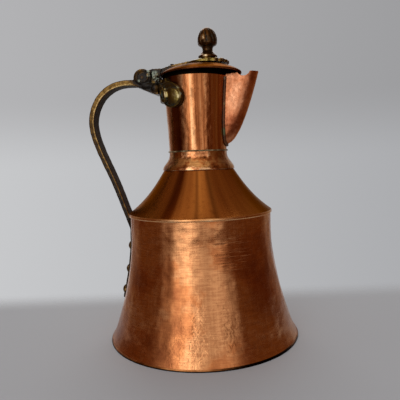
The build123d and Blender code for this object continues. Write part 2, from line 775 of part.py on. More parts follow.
os.makedirs("parts", exist_ok=True)
write("base_plate", make_base_plate())
write("skirt", make_skirt())
write("shoulder", make_shoulder())
write("neck_collar", make_neck_collar())
write("neck_solder_ring", make_neck_solder_ring())
write("neck", make_neck())
write("spout", make_spout())
write("spout_solder", make_spout_solder())
write("handle", make_handle())
write("tail_rivets", make_tail_rivets())
write("tail_burrs", make_tail_burrs())
write("base_solder", make_base_solder())
write("ridge_solder", make_ridge_solder())
write("neck_saddle", make_neck_saddle())
write("saddle_bosses", make_saddle_bosses())
write("saddle_burrs", make_saddle_burrs())
write("hinge_pin", make_hinge_pin())
write("lid_dome", make_lid_dome())
write("lid_flange", make_lid_flange())
write("lid_strap", make_lid_strap())
write("finial", make_finial())
write("finial_washer", make_finial_washer())
write("strap_rivet", make_strap_rivet())
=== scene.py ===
# %% [markdown]
# # Copper ewer with a hinged brass-mounted lid
# A hand-raised pitcher: a flared copper body, a coned shoulder, a narrow neck with a beak
# spout, a cast brass strap handle and a domed lid that turns on a pin above the handle.
# The measured frame comes first. Every look is built around it, in metres, in its place.

# %% Load the measured frame
import json
from math import atan2, cos, pi, radians, sin, tan

import bmesh
import bpy
import numpy as np
from mathutils import Matrix, Vector, noise


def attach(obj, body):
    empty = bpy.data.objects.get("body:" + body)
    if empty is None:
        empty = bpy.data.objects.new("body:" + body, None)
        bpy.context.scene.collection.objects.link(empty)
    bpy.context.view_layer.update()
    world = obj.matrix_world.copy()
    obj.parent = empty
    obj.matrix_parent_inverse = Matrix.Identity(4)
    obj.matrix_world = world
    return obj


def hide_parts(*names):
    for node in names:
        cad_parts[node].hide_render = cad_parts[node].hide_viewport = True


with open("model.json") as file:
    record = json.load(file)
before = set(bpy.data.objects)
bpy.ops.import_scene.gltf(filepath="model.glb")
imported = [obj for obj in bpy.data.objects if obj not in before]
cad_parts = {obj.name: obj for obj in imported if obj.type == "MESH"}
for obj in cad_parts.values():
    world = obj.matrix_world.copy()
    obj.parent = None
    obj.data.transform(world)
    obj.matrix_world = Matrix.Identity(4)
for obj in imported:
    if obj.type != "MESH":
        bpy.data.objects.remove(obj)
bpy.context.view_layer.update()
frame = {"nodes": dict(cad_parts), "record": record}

MM = 0.001
nodes = frame["nodes"]
scene = bpy.context.scene

# %% Helpers for objects and meshes


def linked(name, data):
    """A new object in the scene."""
    made = bpy.data.objects.new(name, data)
    scene.collection.objects.link(made)
    return made


def mesh_of(shape, name):
    """Turns a bmesh into a mesh, and frees it."""
    mesh = bpy.data.meshes.new(name)
    shape.to_mesh(mesh)
    shape.free()
    return mesh


def cut(shape, point, normal, **settings):
    """Cuts a bmesh along a plane."""
    everything = shape.verts[:] + shape.edges[:] + shape.faces[:]
    bmesh.ops.bisect_plane(shape, geom=everything, plane_co=point, plane_no=normal, **settings)


print("object helpers ready")

# %% [markdown]
# The camera stands where the photographer's did: half a metre away, a little to the right
# of the handle's plane and below the rim, so the lid is seen slightly from below. Its axes
# are worked out from that place, a small dip and the two degrees of roll of a hand-held shot.

# %% Camera
CAMERA_DISTANCE = 500 * MM
CAMERA_HEIGHT = 193.8 * MM
CAMERA_TURN = radians(8)  # round the ewer, to the right of its side
CAMERA_DIP = radians(5.22)
CAMERA_ROLL = radians(-2.154)
FOCAL_PIXELS, FRAME_PIXELS = 455.26, 400
SENSOR = 36.0

level = Vector((-sin(CAMERA_TURN), cos(CAMERA_TURN), 0))
right = Vector((cos(CAMERA_TURN), sin(CAMERA_TURN), 0))
ahead = level * cos(CAMERA_DIP) - Vector((0, 0, 1)) * sin(CAMERA_DIP)
above = level * sin(CAMERA_DIP) + Vector((0, 0, 1)) * cos(CAMERA_DIP)
image_right = right * cos(CAMERA_ROLL) + above * sin(CAMERA_ROLL)
image_up = above * cos(CAMERA_ROLL) - right * sin(CAMERA_ROLL)

lens = bpy.data.cameras.new("camera")
lens.sensor_width = SENSOR
lens.lens = FOCAL_PIXELS * SENSOR / FRAME_PIXELS
lens.clip_start = 0.01
camera = linked("camera", lens)
turn = Matrix((image_right, image_up, -ahead)).transposed().to_4x4()
camera.matrix_world = Matrix.Translation(-level * CAMERA_DISTANCE + Vector((0, 0, CAMERA_HEIGHT))) @ turn
scene.camera = camera
scene.view_settings.view_transform = "Standard"
print("camera at", tuple(round(v, 4) for v in camera.location), "lens", round(lens.lens, 2))

# %% [markdown]
# Colours are written as the hex values that a colour picker shows. Shaders work in linear
# light, so one function turns them round.

# %% Helpers for colour and shader nodes
SMOOTH = {"interpolation_type": "SMOOTHSTEP"}  # a MapRange that eases in and out


def linear(hex_colour):
    """The linear RGBA of an sRGB hex colour."""
    shares = [int(hex_colour[i : i + 2], 16) / 255 for i in (1, 3, 5)]
    return [s / 12.92 if s <= 0.04045 else ((s + 0.055) / 1.055) ** 2.4 for s in shares] + [1.0]


def add(tree, kind, inputs=None, operation=None, stops=None, **settings):
    """Adds one node, sets its options, and fills or links its inputs by name or by number. A node
    given as a value stands for the output it has in use, and a hex colour for its linear light."""
    made = tree.nodes.new("ShaderNode" + kind)
    if operation:
        made.operation = operation
    for name, value in settings.items():
        setattr(made, name, value)
    for key, value in (inputs or {}).items():
        named = isinstance(key, str)
        socket = next(s for s in made.inputs if s.name == key and s.enabled) if named else made.inputs[key]
        if isinstance(value, bpy.types.Node):
            value = next(s for s in value.outputs if s.enabled)
        elif isinstance(value, str):
            value = linear(value)
        if isinstance(value, bpy.types.NodeSocket):
            tree.links.new(value, socket)
        else:
            socket.default_value = value
    if stops:
        ramp = made.color_ramp
        while len(ramp.elements) < len(stops):
            ramp.elements.new(1.0)
        for element, (place, colour) in zip(ramp.elements, stops):
            element.position = place
            element.color = linear(colour) if isinstance(colour, str) else (colour, colour, colour, 1)
    return made


def fresh(name):
    """An empty material, the node tree to build in, and the place on the object."""
    material = bpy.data.materials.new(name)
    material.use_nodes = True
    tree = material.node_tree
    tree.nodes.clear()
    return material, tree, add(tree, "TexCoord").outputs["Object"]


print("helpers ready")

# %% [markdown]
# The studio is a pale grey floor before a pale grey wall, which is the world's own colour,
# lighter to the left. A shape this shiny is only as rich as what it mirrors, so a big dome
# stands round the camera's side: brown like the unlit room behind the photographer, tan
# overhead. It is what photographers call a flag. Only mirrored rays meet it.

# %% World
WALL_LOW = [(0.0, "#C8C9CB"), (1.0, "#AAABAE")]  # from left to right
WALL_HIGH = [(0.0, "#B4B4B6"), (1.0, "#9C9C9E")]

world = bpy.data.worlds.new("pale_wall")
scene.world = world
world.use_nodes = True
world.cycles.sampling_method = "NONE"  # the wall is even, so it needs no aimed rays
tree = world.node_tree
tree.nodes.clear()
direction = add(tree, "TexCoord").outputs["Generated"]
across = add(tree, "VectorMath", {0: direction, 1: right}, "DOT_PRODUCT")
share = add(tree, "MapRange", {"Value": across, "From Min": -0.45, "From Max": 0.45})
upward = add(tree, "SeparateXYZ", {0: direction}).outputs["Z"]
high = add(tree, "MapRange", {"Value": upward, "From Min": -0.02, "From Max": 0.14}, **SMOOTH)
low_part, high_part = [add(tree, "ValToRGB", {0: share}, stops=row) for row in (WALL_LOW, WALL_HIGH)]
blend = add(tree, "Mix", {"Factor": high, "A": low_part, "B": high_part}, data_type="RGBA")
add(tree, "OutputWorld", {"Surface": add(tree, "Background", {"Color": blend})})
print("world made")

# %% Flag dome
ROOM_DARK = "#5E3C20"
ROOM_CEILING = "#C9AE8A"
ROOM_SIDE = "#8C7B6C"
DOME_RADIUS, DOME_REACH = 3.0, 0.85  # metres, and the share of the radius kept behind the ewer

room_material, tree, place = fresh("unlit_room_behind_the_camera")
room_material.cycles.emission_sampling = "NONE"
direction = add(tree, "VectorMath", {0: place}, "NORMALIZE")
along = add(tree, "VectorMath", {0: direction, 1: level}, "DOT_PRODUCT")
upward = add(tree, "SeparateXYZ", {0: direction}).outputs["Z"]
behind = add(tree, "MapRange", {"Value": along, "From Min": 0.25, "From Max": 0.85}, **SMOOTH)
aside = add(tree, "VectorMath", {0: direction, 1: right}, "DOT_PRODUCT")
shifted = add(tree, "Math", {0: aside, 1: 0.06}, "ADD")
off_middle = add(tree, "Math", {0: shifted}, "ABSOLUTE")
strip = add(tree, "MapRange", {"Value": off_middle, "From Min": 0.5, "From Max": 0.12, "To Min": 0.15},
    **SMOOTH)
raised = add(tree, "MapRange", {"Value": upward, "From Min": 0.4, "From Max": 0.85}, **SMOOTH)
overhead = add(tree, "Math", {0: raised, 1: strip}, "MULTIPLY")
room = add(tree, "Mix", {"Factor": overhead, "A": ROOM_DARK, "B": ROOM_CEILING}, data_type="RGBA")
lit = add(tree, "Mix", {"Factor": behind, "A": room, "B": ROOM_SIDE}, data_type="RGBA")
add(tree, "OutputMaterial", {"Surface": add(tree, "Emission", {"Color": lit})})

shape = bmesh.new()
bmesh.ops.create_uvsphere(shape, u_segments=48, v_segments=24, radius=DOME_RADIUS)
cut(shape, level * DOME_RADIUS * DOME_REACH, level, dist=1e-5, clear_outer=True)
dome = linked("flag_dome", mesh_of(shape, "flag_dome"))
dome.data.materials.append(room_material)
dome.visible_camera = False
dome.visible_diffuse = False
dome.visible_transmission = False
dome.visible_shadow = False
print("dome faces:", len(dome.data.polygons))

# %% [markdown]
# One wide soft panel stands where the photographer does, like a window with thin curtains,
# brightest left of the camera and fading out at both ends. The round body mirrors it as one
# broad upright band with a brighter left edge. A second panel, high behind the ewer, lights
# the floor and draws thin bright lines along the top edges.

# %% Lamps


def panel(name, azimuth, height, distance, width, tall, radiance, across=None):
    """A soft rectangular lamp, azimuth degrees to the right of the camera as seen from the ewer."""
    lamp = bpy.data.lights.new(name, "AREA")
    lamp.shape = "RECTANGLE"
    lamp.size = width
    lamp.size_y = tall
    lamp.energy = radiance * pi * width * tall
    if across:
        lamp.use_nodes = True
        tree = lamp.node_tree
        tree.nodes.clear()
        on_lamp = add(tree, "SeparateXYZ", {0: add(tree, "NewGeometry").outputs["Parametric"]})
        curtain = add(tree, "ValToRGB", {0: on_lamp.outputs["X"]}, stops=across)
        add(tree, "OutputLight", {"Surface": add(tree, "Emission", {"Color": curtain})})
    placed = linked(name, lamp)
    angle = CAMERA_TURN + radians(azimuth)
    placed.location = (sin(angle) * distance, -cos(angle) * distance, height)
    aim = Vector((0, 0, AIM_HEIGHT)) - placed.location
    placed.rotation_euler = aim.to_track_quat("-Z", "Y").to_euler()


AIM_HEIGHT = 0.17  # metres, half way up the ewer
WINDOW_TURN, WINDOW_HALF_TURN, WINDOW_AWAY, WINDOW_TALL = -8, 54, 1.3, 1.4  # degrees, then metres
WINDOW_PEAK = 1.75
# pairs of degrees to the right of the camera, as seen from the ewer, and light
WINDOW_LIGHT = [(-62, 0.03), (-55, 0.2), (-45, 0.5), (-36, 1.1), (-27, 1.65), (-17, 1.75), (-11, 0.8),
    (-4, 0.5), (8, 0.45), (18, 0.64), (27, 0.66), (35, 0.3), (44, 0.03), (46, 0.0)]

half_width = WINDOW_AWAY * tan(radians(WINDOW_HALF_TURN))
curtains = []
for azimuth, light in WINDOW_LIGHT:
    shift = WINDOW_AWAY * tan(radians(azimuth - WINDOW_TURN))
    curtains.append(((shift / half_width + 1) / 2, light / WINDOW_PEAK))
panel("window", WINDOW_TURN, height=0.5, distance=WINDOW_AWAY, width=2 * half_width, tall=WINDOW_TALL,
    radiance=WINDOW_PEAK, across=curtains)
panel("skylight_behind", 180, height=1.0, distance=0.75, width=0.9, tall=0.9, radiance=1.3)
print("lamps:", len(bpy.data.lights))

# %% [markdown]
# The floor is matt grey paper. Its far edge fades into the wall, as paper does that curves
# up behind an object, so no hard horizon cuts across the picture.

# %% Floor
FLOOR_GREY = "#BCBCBE"
FLOOR_FRONT = 0.45  # metres from the axis to the edge of the paper
FADE_FROM, FADE_TO = 0.09, 0.17  # metres behind the axis, where the paper runs out into the wall

floor_material, tree, place = fresh("matt_grey_paper")
backwards = add(tree, "VectorMath", {0: place, 1: level}, "DOT_PRODUCT")
fade = add(tree, "MapRange", {"Value": backwards, "From Min": FADE_FROM, "From Max": FADE_TO}, **SMOOTH)
outwards = add(tree, "VectorMath", {0: place}, "LENGTH")
edge = add(tree, "MapRange", {"Value": outwards, "From Min": 0.3, "From Max": FLOOR_FRONT}, **SMOOTH)
open_share = add(tree, "Math", {0: fade, 1: edge}, "MAXIMUM")
grain = add(tree, "TexNoise", {"Vector": place, "Scale": 900.0, "Detail": 3.0})
tooth = add(tree, "Bump", {"Strength": 0.06, "Distance": 0.0004, "Height": grain})
paper = add(tree, "BsdfPrincipled", {"Base Color": FLOOR_GREY, "Roughness": 0.7, "Normal": tooth})
no_paper = add(tree, "BsdfTransparent")
mixed = add(tree, "MixShader", {0: open_share, 1: paper, 2: no_paper})
add(tree, "OutputMaterial", {"Surface": mixed})

shape = bmesh.new()
bmesh.ops.create_grid(shape, x_segments=1, y_segments=1, size=FLOOR_FRONT)
floor = linked("floor", mesh_of(shape, "floor"))
floor.data.materials.append(floor_material)
print("floor made")

# %% [markdown]
# Copper sheet, raised with a hammer, then scoured and left to darken. Each blow left a
# shallow dent, so the metal mirrors the room in wavy bands. Scouring left fine lines, and
# handling a patchy brown oxide, darker and duller than the metal. Some finishes also carry
# painted shade and painted dark reflections, listed where they are used.

# %% Copper
COPPER_CLEAN = "#F2B882"
COPPER_WARM = "#D88C56"
COPPER_OXIDE = "#95532C"
COPPER_RED = "#8A3A24"
# near black for painted shade, and brown for painted dark reflections
SHADE_BLACK = "#120C07"
DARK_REFLECTION_BROWN = "#4A1E08"
RAGGED, SPECKLED, BLOWS, SCARS = 120.0, 170.0, 240.0, 420.0  # per metre: 8.3, 5.9, 4.2 and 2.4 mm
LONG_LINES, LONG_STREAKS = 0.1, 0.06  # how much a pattern is stretched along its run
RING_RADIUS = 0.06  # metres; upright patterns are as wide as on a body of this radius


def within(tree, place, centre, reach):
    """1 near a point of the object, 0 beyond its reach, both in millimetres, with a ragged edge."""
    apart = add(tree, "VectorMath", {0: place, 1: Vector(centre) * MM}, "DISTANCE")
    ragged = add(tree, "TexNoise", {"Vector": place, "Scale": RAGGED, "Detail": 3.0})
    shifted = add(tree, "Math", {0: ragged, 1: 0.5 * reach * MM, 2: apart}, "MULTIPLY_ADD")
    return add(tree, "MapRange",
        {"Value": shifted, "From Min": 1.25 * reach * MM, "From Max": 0.6 * reach * MM}, **SMOOTH)


def stained(tree, base, share, colour):
    """The base colour, turned towards another one by a share."""
    return add(tree, "Mix", {"Factor": share, "A": base, "B": colour}, data_type="RGBA")


def runs(tree, place):
    """The way each point faces, and places stretched along upright and along level lines."""
    flat = add(tree, "VectorMath", {0: place, 1: (1, 1, 0)}, "MULTIPLY")
    facing = add(tree, "VectorMath", {0: flat}, "NORMALIZE")
    ring = add(tree, "VectorMath", {0: facing, 1: (RING_RADIUS, RING_RADIUS, 0)}, "MULTIPLY")
    upright_run = add(tree, "VectorMath", {0: place, 1: (0, 0, LONG_STREAKS), 2: ring}, "MULTIPLY_ADD")
    level_run = add(tree, "VectorMath", {0: place, 1: (LONG_LINES, LONG_LINES, 1)}, "MULTIPLY")
    return facing, upright_run, level_run


def painted_dark_reflections(tree, base, facing, patches, streaks):
    """The base colour under painted dark reflections, brown lines that run upright, a little wavy."""
    for degrees, half_width, strength in streaks:
        angle = CAMERA_TURN + radians(degrees)
        aside = add(tree, "VectorMath", {0: facing, 1: (sin(angle), -cos(angle), 0)}, "DISTANCE")
        wavy = add(tree, "Math", {0: patches, 1: 0.05, 2: aside}, "MULTIPLY_ADD")
        streak = add(tree, "MapRange", {"Value": wavy, "From Min": 0.025 + half_width, "From Max": 0.025,
            "To Max": strength}, **SMOOTH)
        base = stained(tree, base, streak, DARK_REFLECTION_BROWN)
    return base


def marked(tree, normal, place, run, spots, scale, bent, deep):
    """The relief with marks of one kind near some spots."""
    for *centre, reach in spots:
        marks = add(tree, "TexNoise", {"Vector": run, "Scale": scale, "Distortion": bent})
        normal = add(tree, "Bump", {"Strength": within(tree, place, centre, reach), "Distance": deep * MM,
            "Height": marks, "Normal": normal})
    return normal


def copper(name, upright=False, line_mm=2.2, line_depth=0.02, line_tone=0.25, weave=0.0, pit_mm=3.0,
        pit_depth=0.05, roughness=0.17, oxide=0.5, patch_mm=25.0, clean_from=0.62, clean=COPPER_CLEAN,
        warm=COPPER_WARM, dark=COPPER_OXIDE, edge="#FFFFFF", painted_shade=(), rough=(), red_tint_and_shade=(), scratched=(),
        streaks=(), shadow_line_below=None):
    """Hammered copper. Its scouring lines run level round the body, or upright along it. Lists of
    (x, y, z, reach) give spots of near-black painted shade, rough patches, a red-brown tint that on
    the neck is painted shade, and scratches. streaks lists (degrees from the camera's side, half
    width, strength) of painted dark reflections that run upright."""
    material, tree, place = fresh(name)
    facing, upright_run, level_run = runs(tree, place)
    # patches of thicker and thinner oxide
    patches = add(tree, "TexNoise", {"Vector": upright_run if upright else place, "Scale": 1000 / patch_mm,
        "Detail": 5.0, "Roughness": 0.62})
    base = add(tree, "ValToRGB", {0: patches}, stops=[(0.33, dark), (0.47, warm), (clean_from, clean)])
    # a red-brown tint, which on the neck is painted shade
    for *centre, reach in red_tint_and_shade:
        share = add(tree, "Math", {0: within(tree, place, centre, reach), 1: 0.45}, "MULTIPLY")
        base = stained(tree, base, share, COPPER_RED)
    tint = add(tree, "TexNoise", {"Vector": place, "Scale": SPECKLED, "Detail": 6.0, "Roughness": 0.75})
    specks = add(tree, "MapRange", {"Value": tint, "From Min": 0.52, "From Max": 0.75, "To Max": oxide})
    base = stained(tree, base, specks, dark)
    # scouring lines, with a weft across them where the cloth went both ways
    strokes = add(tree, "TexNoise",
        {"Vector": upright_run if upright else level_run, "Scale": 1000 / line_mm})
    if weave:
        weft = add(tree, "TexNoise", {"Vector": upright_run, "Scale": 1000 / line_mm})
        weft = add(tree, "Math", {0: weft, 1: 0.5}, "SUBTRACT")
        strokes = add(tree, "Math", {0: weft, 1: weave, 2: strokes}, "MULTIPLY_ADD")
    lines = add(tree, "MapRange", {"Value": strokes, "From Min": 0.42, "From Max": 0.62, "To Max": line_tone})
    base = stained(tree, base, lines, dark)
    # painted shade: near black round each listed spot
    for *centre, reach in painted_shade:
        base = stained(tree, base, within(tree, place, centre, reach), SHADE_BLACK)
    base = painted_dark_reflections(tree, base, facing, patches, streaks)
    # a painted contact shadow: near black along the bottom edge
    if shadow_line_below is not None:
        height = add(tree, "SeparateXYZ", {0: place}).outputs["Z"]
        contact_shadow = add(tree, "MapRange",
            {"Value": height, "From Min": (shadow_line_below + 0.6) * MM, "From Max": shadow_line_below * MM})
        base = stained(tree, base, contact_shadow, SHADE_BLACK)
    # the relief: pits, then rough patches and scratches, then the lines on top
    pits = add(tree, "TexNoise", {"Vector": place, "Scale": 1000 / pit_mm, "Detail": 4.0, "Roughness": 0.6})
    normal = add(tree, "Bump", {"Distance": pit_depth * MM, "Height": pits})
    normal = marked(tree, normal, place, place, rough, BLOWS, bent=0.8, deep=0.32)
    normal = marked(tree, normal, place, level_run, scratched, SCARS, bent=0.6, deep=0.5)
    normal = add(tree, "Bump", {"Distance": line_depth * MM, "Height": strokes, "Normal": normal})
    dull = add(tree, "MapRange", {"Value": tint, "From Min": 0.35, "From Max": 0.65, "To Min": roughness,
        "To Max": roughness + 0.12})
    metal = add(tree, "BsdfPrincipled",
        {"Base Color": base, "Metallic": 1.0, "Roughness": dull, "Normal": normal, "Specular Tint": edge})
    add(tree, "OutputMaterial", {"Surface": metal})
    return material


# Scouring lines are drawn one to two millimetres apart. Real ones are finer, but would
# average out to a plain colour in the picture.
# The body: warm broken bands of light, a linen of fine lines, a few scratches and redder sides.
body_copper = copper("scoured_hammered_copper", line_mm=1.25, line_depth=0.03, line_tone=0.4, weave=0.55,
    patch_mm=60.0, clean_from=0.54, clean="#E9A872", dark="#A5603A",
    rough=[(17, -90, 33, 42), (-8, -96, 18, 26), (64, -45, 116, 22), (80, -36, 72, 24), (88, -44, 36, 22)],
    red_tint_and_shade=[(65, -49, 55, 30), (88, -30, 30, 30)], scratched=[(44, -66, 99, 30)])
# The base plate's lip: duller copper with a painted contact shadow, a black line where it stands on the
# floor, darkest towards the right.
foot_copper = copper("copper_foot_with_painted_contact_shadow", roughness=0.3, clean="#D2925E", warm="#B0703E", dark="#5A3218",
    painted_shade=[(78, -80, -4, 78)], shadow_line_below=0.9)
# The folded edge between cone and skirt: rubbed clean, and paler as a painted highlight, so it draws one thin
# bright line.
ridge_copper = copper("rubbed_copper_ridge_painted_highlight", roughness=0.2, line_tone=0.05, oxide=0.1, clean="#F8C894",
    warm="#EAAC74", dark="#B87444")
# The neck: upright salmon and brown mottle beside one bright stripe. Towards the handle it has painted
# shade: near black under the lid, red brown lower down, and a dark upright reflection left of the stripe.
neck_copper = copper("hammered_copper_neck", upright=True, line_mm=2.0, line_depth=0.03, line_tone=0.3,
    patch_mm=9.0, pit_mm=3.2, pit_depth=0.18, roughness=0.18, painted_shade=[(-27, -23, 279, 13)],
    red_tint_and_shade=[(-19, -27, 262, 14), (-18, -27, 240, 14), (-18, -27, 218, 14)], streaks=[(-37, 0.6, 0.8)])
# The lapped collar: small bright hammer glints in the middle, and painted dark reflections at both sides.
collar_copper = copper("lapped_copper_collar", pit_mm=2.2, pit_depth=0.14, roughness=0.13, patch_mm=12.0,
    clean_from=0.54, clean="#FFCC98", warm="#E89E68", dark="#6E3214",
    streaks=[(-50, 0.4, 0.5), (48, 0.5, 0.5)])
# The cone: the smoothest and darkest copper, with a few soft painted dark reflections from collar to ridge.
shoulder_copper = copper("smooth_darkened_copper", upright=True, line_mm=9.0, line_depth=0.004,
    line_tone=0.22, pit_depth=0.012, roughness=0.2, patch_mm=30.0, clean="#CA8648", warm="#B6733C",
    dark="#7A3E1A", edge="#D0B49C",
    streaks=[(-27, 0.12, 0.35), (-3, 0.07, 0.45), (11.5, 0.09, 0.6), (66, 0.45, 0.45)])
# The spout: the pinkest and dullest copper, because it was scoured most. Near black painted shade sits
# under the lid's edge, and a red-brown tint low down.
spout_copper = copper("pink_scoured_copper", pit_depth=0.18, pit_mm=3.2, roughness=0.28, line_tone=0.1,
    clean="#F8B488", warm="#DE9064", dark="#96522C", edge="#D8BCA4", painted_shade=[(30, -13, 277, 3.5)],
    red_tint_and_shade=[(38, -9, 228, 15)])
# The lid: brown, worn copper whose edge doesn't flash white when seen at a flat angle.
lid_copper = copper("worn_copper_lid", line_depth=0.01, roughness=0.3, edge="#BDB2A6", clean="#A0643A",
    warm="#7A4826", dark="#3A2010")
# Under the lid and round its seat: nearly black, tarnish and painted shade together, so the gap reads as a
# dark band.
lid_underside = copper("copper_inside_tarnish_and_painted_shade", roughness=0.45, edge="#2A1A10", clean="#3A2010",
    warm="#24140A", dark="#0E0704")
seat_tarnish_and_shade = copper("copper_seat_tarnish_and_painted_shade", roughness=0.5, edge="#3A2A1E", clean="#2A1E14",
    warm="#17110B", dark="#0A0806")
print("copper made")

# %% [markdown]
# The handle, hinge, straps and finial are cast brass with a brown-black patina. Hands rub
# it off edges and high places, which go olive gold, and leave it in the hollows, where damp
# turns it to pale verdigris. How far each point stands proud is stored with the mesh as an
# attribute called wear, so the bright lines lie on the real edges from every side. Listed
# spots add painted highlights, pale painted glints and painted shade.

# %% Brass and solder
BRASS_BRIGHT = "#D6BE86"
BRASS_RUBBED = "#86693A"
BRASS_AGED = "#4C3719"
BRASS_BLACK = "#120C07"
PATINA, CRUST, CAST_GRAIN = 220.0, 420.0, 450.0  # per metre: 4.5, 2.4 and 2.2 mm
VERDIGRIS = "#A3AE98"
OLD_GREEN = "#55583A"


def brass(name, level, roughness=0.36, mottle=0.7, gain=1.7, lumps=0.05, shine=0.25, bright=BRASS_BRIGHT,
        rubbed=BRASS_RUBBED, aged=BRASS_AGED, green=(), wear_and_painted_light=(), dark_from=None):
    """Cast brass under a patina. level is how rubbed it is, from 0 black to 1 bright. Lists of
    (x, y, z, reach, change of level) give spots made lighter and darker by rubbing, painted
    highlights and painted shade, and green lists (x, y, z, reach) of verdigris and pale painted
    glints, all alike on both sides."""
    material, tree, place = fresh(name)
    parts = add(tree, "SeparateXYZ", {0: place})
    aside = add(tree, "Math", {0: parts.outputs["Y"]}, "ABSOLUTE")
    either_side = add(tree, "CombineXYZ", {0: parts.outputs["X"], 1: aside, 2: parts.outputs["Z"]})
    patches = add(tree, "TexNoise", {"Vector": place, "Scale": PATINA, "Detail": 6.0, "Roughness": 0.65})
    proud = add(tree, "Attribute", attribute_name="wear").outputs["Fac"]
    uneven = add(tree, "Math", {0: patches, 1: mottle, 2: level - 0.5 * mottle}, "MULTIPLY_ADD")
    rubbing = add(tree, "Math", {0: proud, 1: gain, 2: uneven}, "MULTIPLY_ADD")
    # darker towards the bottom
    if dark_from:
        high, low, change = dark_from
        darker_below = add(tree, "MapRange", {"Value": parts.outputs["Z"],
                    "From Min": low * MM, "From Max": high * MM, "To Min": change, "To Max": 0.0})
        rubbing = add(tree, "Math", {0: rubbing, 1: darker_below}, "ADD")
    # listed spots: rubbing, painted highlights and painted shade
    for *centre, reach, change in wear_and_painted_light:
        rubbing = add(tree, "Math", {0: within(tree, either_side, centre, reach), 1: change, 2: rubbing},
            "MULTIPLY_ADD")
    colour = add(tree, "ValToRGB", {0: rubbing},
        stops=[(0.22, BRASS_BLACK), (0.42, aged), (0.6, rubbed), (0.85, bright)])
    crust = add(tree, "TexNoise", {"Vector": place, "Scale": CRUST, "Detail": 5.0, "Roughness": 0.7})
    verdigris = add(tree, "MapRange", {"Value": proud, "From Min": -0.03, "From Max": -0.08, "To Max": 0.2})
    # listed spots of verdigris and of pale painted glints
    for *centre, reach in green:
        verdigris = add(tree, "Math", {0: verdigris, 1: within(tree, either_side, centre, reach)}, "MAXIMUM")
    crusted = add(tree, "MapRange", {"Value": crust, "From Min": 0.38, "From Max": 0.62})
    share = add(tree, "Math", {0: verdigris, 1: crusted}, "MULTIPLY")
    base = stained(tree, colour, share, VERDIGRIS)
    bare = add(tree, "MapRange", {"Value": rubbing, "From Min": 0.25, "From Max": 0.5, "To Min": 0.4})
    metallic = add(tree, "MapRange", {"Value": share, "To Min": bare, "To Max": 0.0})
    grain = add(tree, "TexNoise", {"Vector": place, "Scale": CAST_GRAIN, "Detail": 4.0})
    cast_skin = add(tree, "Bump", {"Distance": lumps * MM, "Height": grain})
    dull = add(tree, "MapRange", {"Value": rubbing, "From Min": 0.3, "From Max": 0.75,
               "To Min": roughness + 0.02, "To Max": roughness - 0.04})
    metal = add(tree, "BsdfPrincipled", {"Base Color": base, "Metallic": metallic, "Roughness": dull,
                "Normal": cast_skin, "Specular IOR Level": shine})
    add(tree, "OutputMaterial", {"Surface": metal})
    return material


# The handle: olive brown at the top, nearly black low down, with one bright line along an edge,
# part polish and part painted highlight. Pale and bright spots by the pin are painted glints.
handle_brass = brass("aged_cast_brass_handle", 0.5, roughness=0.32, gain=1.3, lumps=0.1, shine=0.35,
    dark_from=(262, 165, -0.28),
    wear_and_painted_light=[(-51, 8, 278, 22, -0.34), (-49.6, 10, 284.6, 2.4, 0.35), (-58, 10, 289, 4, 0.15)],
    green=[(-49.4, 10, 284.6, 2.6), (-49, 10, 289, 2.2), (-60, 10, 279, 2)])
# Painted shade: dull brown black on the strap's faces that lie in shade.
painted_shade_brass = brass("painted_shade_on_inner_face", 0.31, roughness=0.6, mottle=0.4, gain=0.3, lumps=0.1, shine=0.1)
# The pin and the lid's rivet: black with oil and dust.
hinge_brass = brass("blackened_brass_hinge", 0.3, roughness=0.26, lumps=0.2, shine=0.5)
# The lid's arm: gold on its filed edges, dark towards the hinge, green where damp stands, with a painted
# highlight near the plate.
strap_brass = brass("filed_brass_lid_strap", 0.53, roughness=0.3, gain=1.0, lumps=0.08, shine=0.4,
    green=[(-43, 7, 285, 5)], wear_and_painted_light=[(-38, 0, 287, 24, -0.28), (13, 12, 298, 8, 0.15)])
# The plate under the finial: smooth olive gold with one soft painted highlight in front.
plate_brass = brass("olive_brass_plate_painted_highlight", 0.56, roughness=0.27, mottle=0.45, gain=0.25, lumps=0.06,
    shine=0.5, rubbed="#8A7A40", wear_and_painted_light=[(14, 12, 298, 6, 0.16)])
# The bosses: an olive leaf with a pale right edge, a black groove and a grey green rim. The pale right
# edge and pale spots on the small loop and on the saddle's top are painted highlights and glints; the
# saddle's top under the lid is darkened as painted shade, and the loop's hollow is darker.
boss_brass = brass("olive_brass_boss_wear_and_painted_light", 0.4, roughness=0.36, gain=1.3, lumps=0.2, shine=0.5,
    bright="#E2D6A8", rubbed="#8A7A40",
    green=[(-9, 38, 260, 3), (-12, 37, 267, 3), (-42, 10, 283, 6), (-30, 28, 267, 3),
        (-37.5, 11, 278.5, 2), (-33, 15, 278, 2)],
    wear_and_painted_light=[(-17, 40, 258, 9, 0.2), (-10, 39, 257, 4, 0.2), (-29, 29, 265, 3.6, 0.45),
        (-27, 32, 260, 5, 0.65), (-31.5, 29, 259.5, 3.2, -0.3), (-37, 12, 278, 9, -0.2)])
# The finial: brown bud with a small painted highlight, and a brighter painted band on its foot.
finial_brass = brass("brown_brass_finial_painted_highlights", 0.42, roughness=0.26, bright="#E0CCA6", rubbed="#74502C",
    aged="#3E2A16", wear_and_painted_light=[(10.5, 8, 320, 4.5, 0.5), (12, 9, 301, 5, 0.3)])
# The tail rivets: plain olive brown heads, brighter where the hammer peened them.
rivet_brass = brass("peened_brass_rivets", 0.5)
print("brass made")

# %% Solder


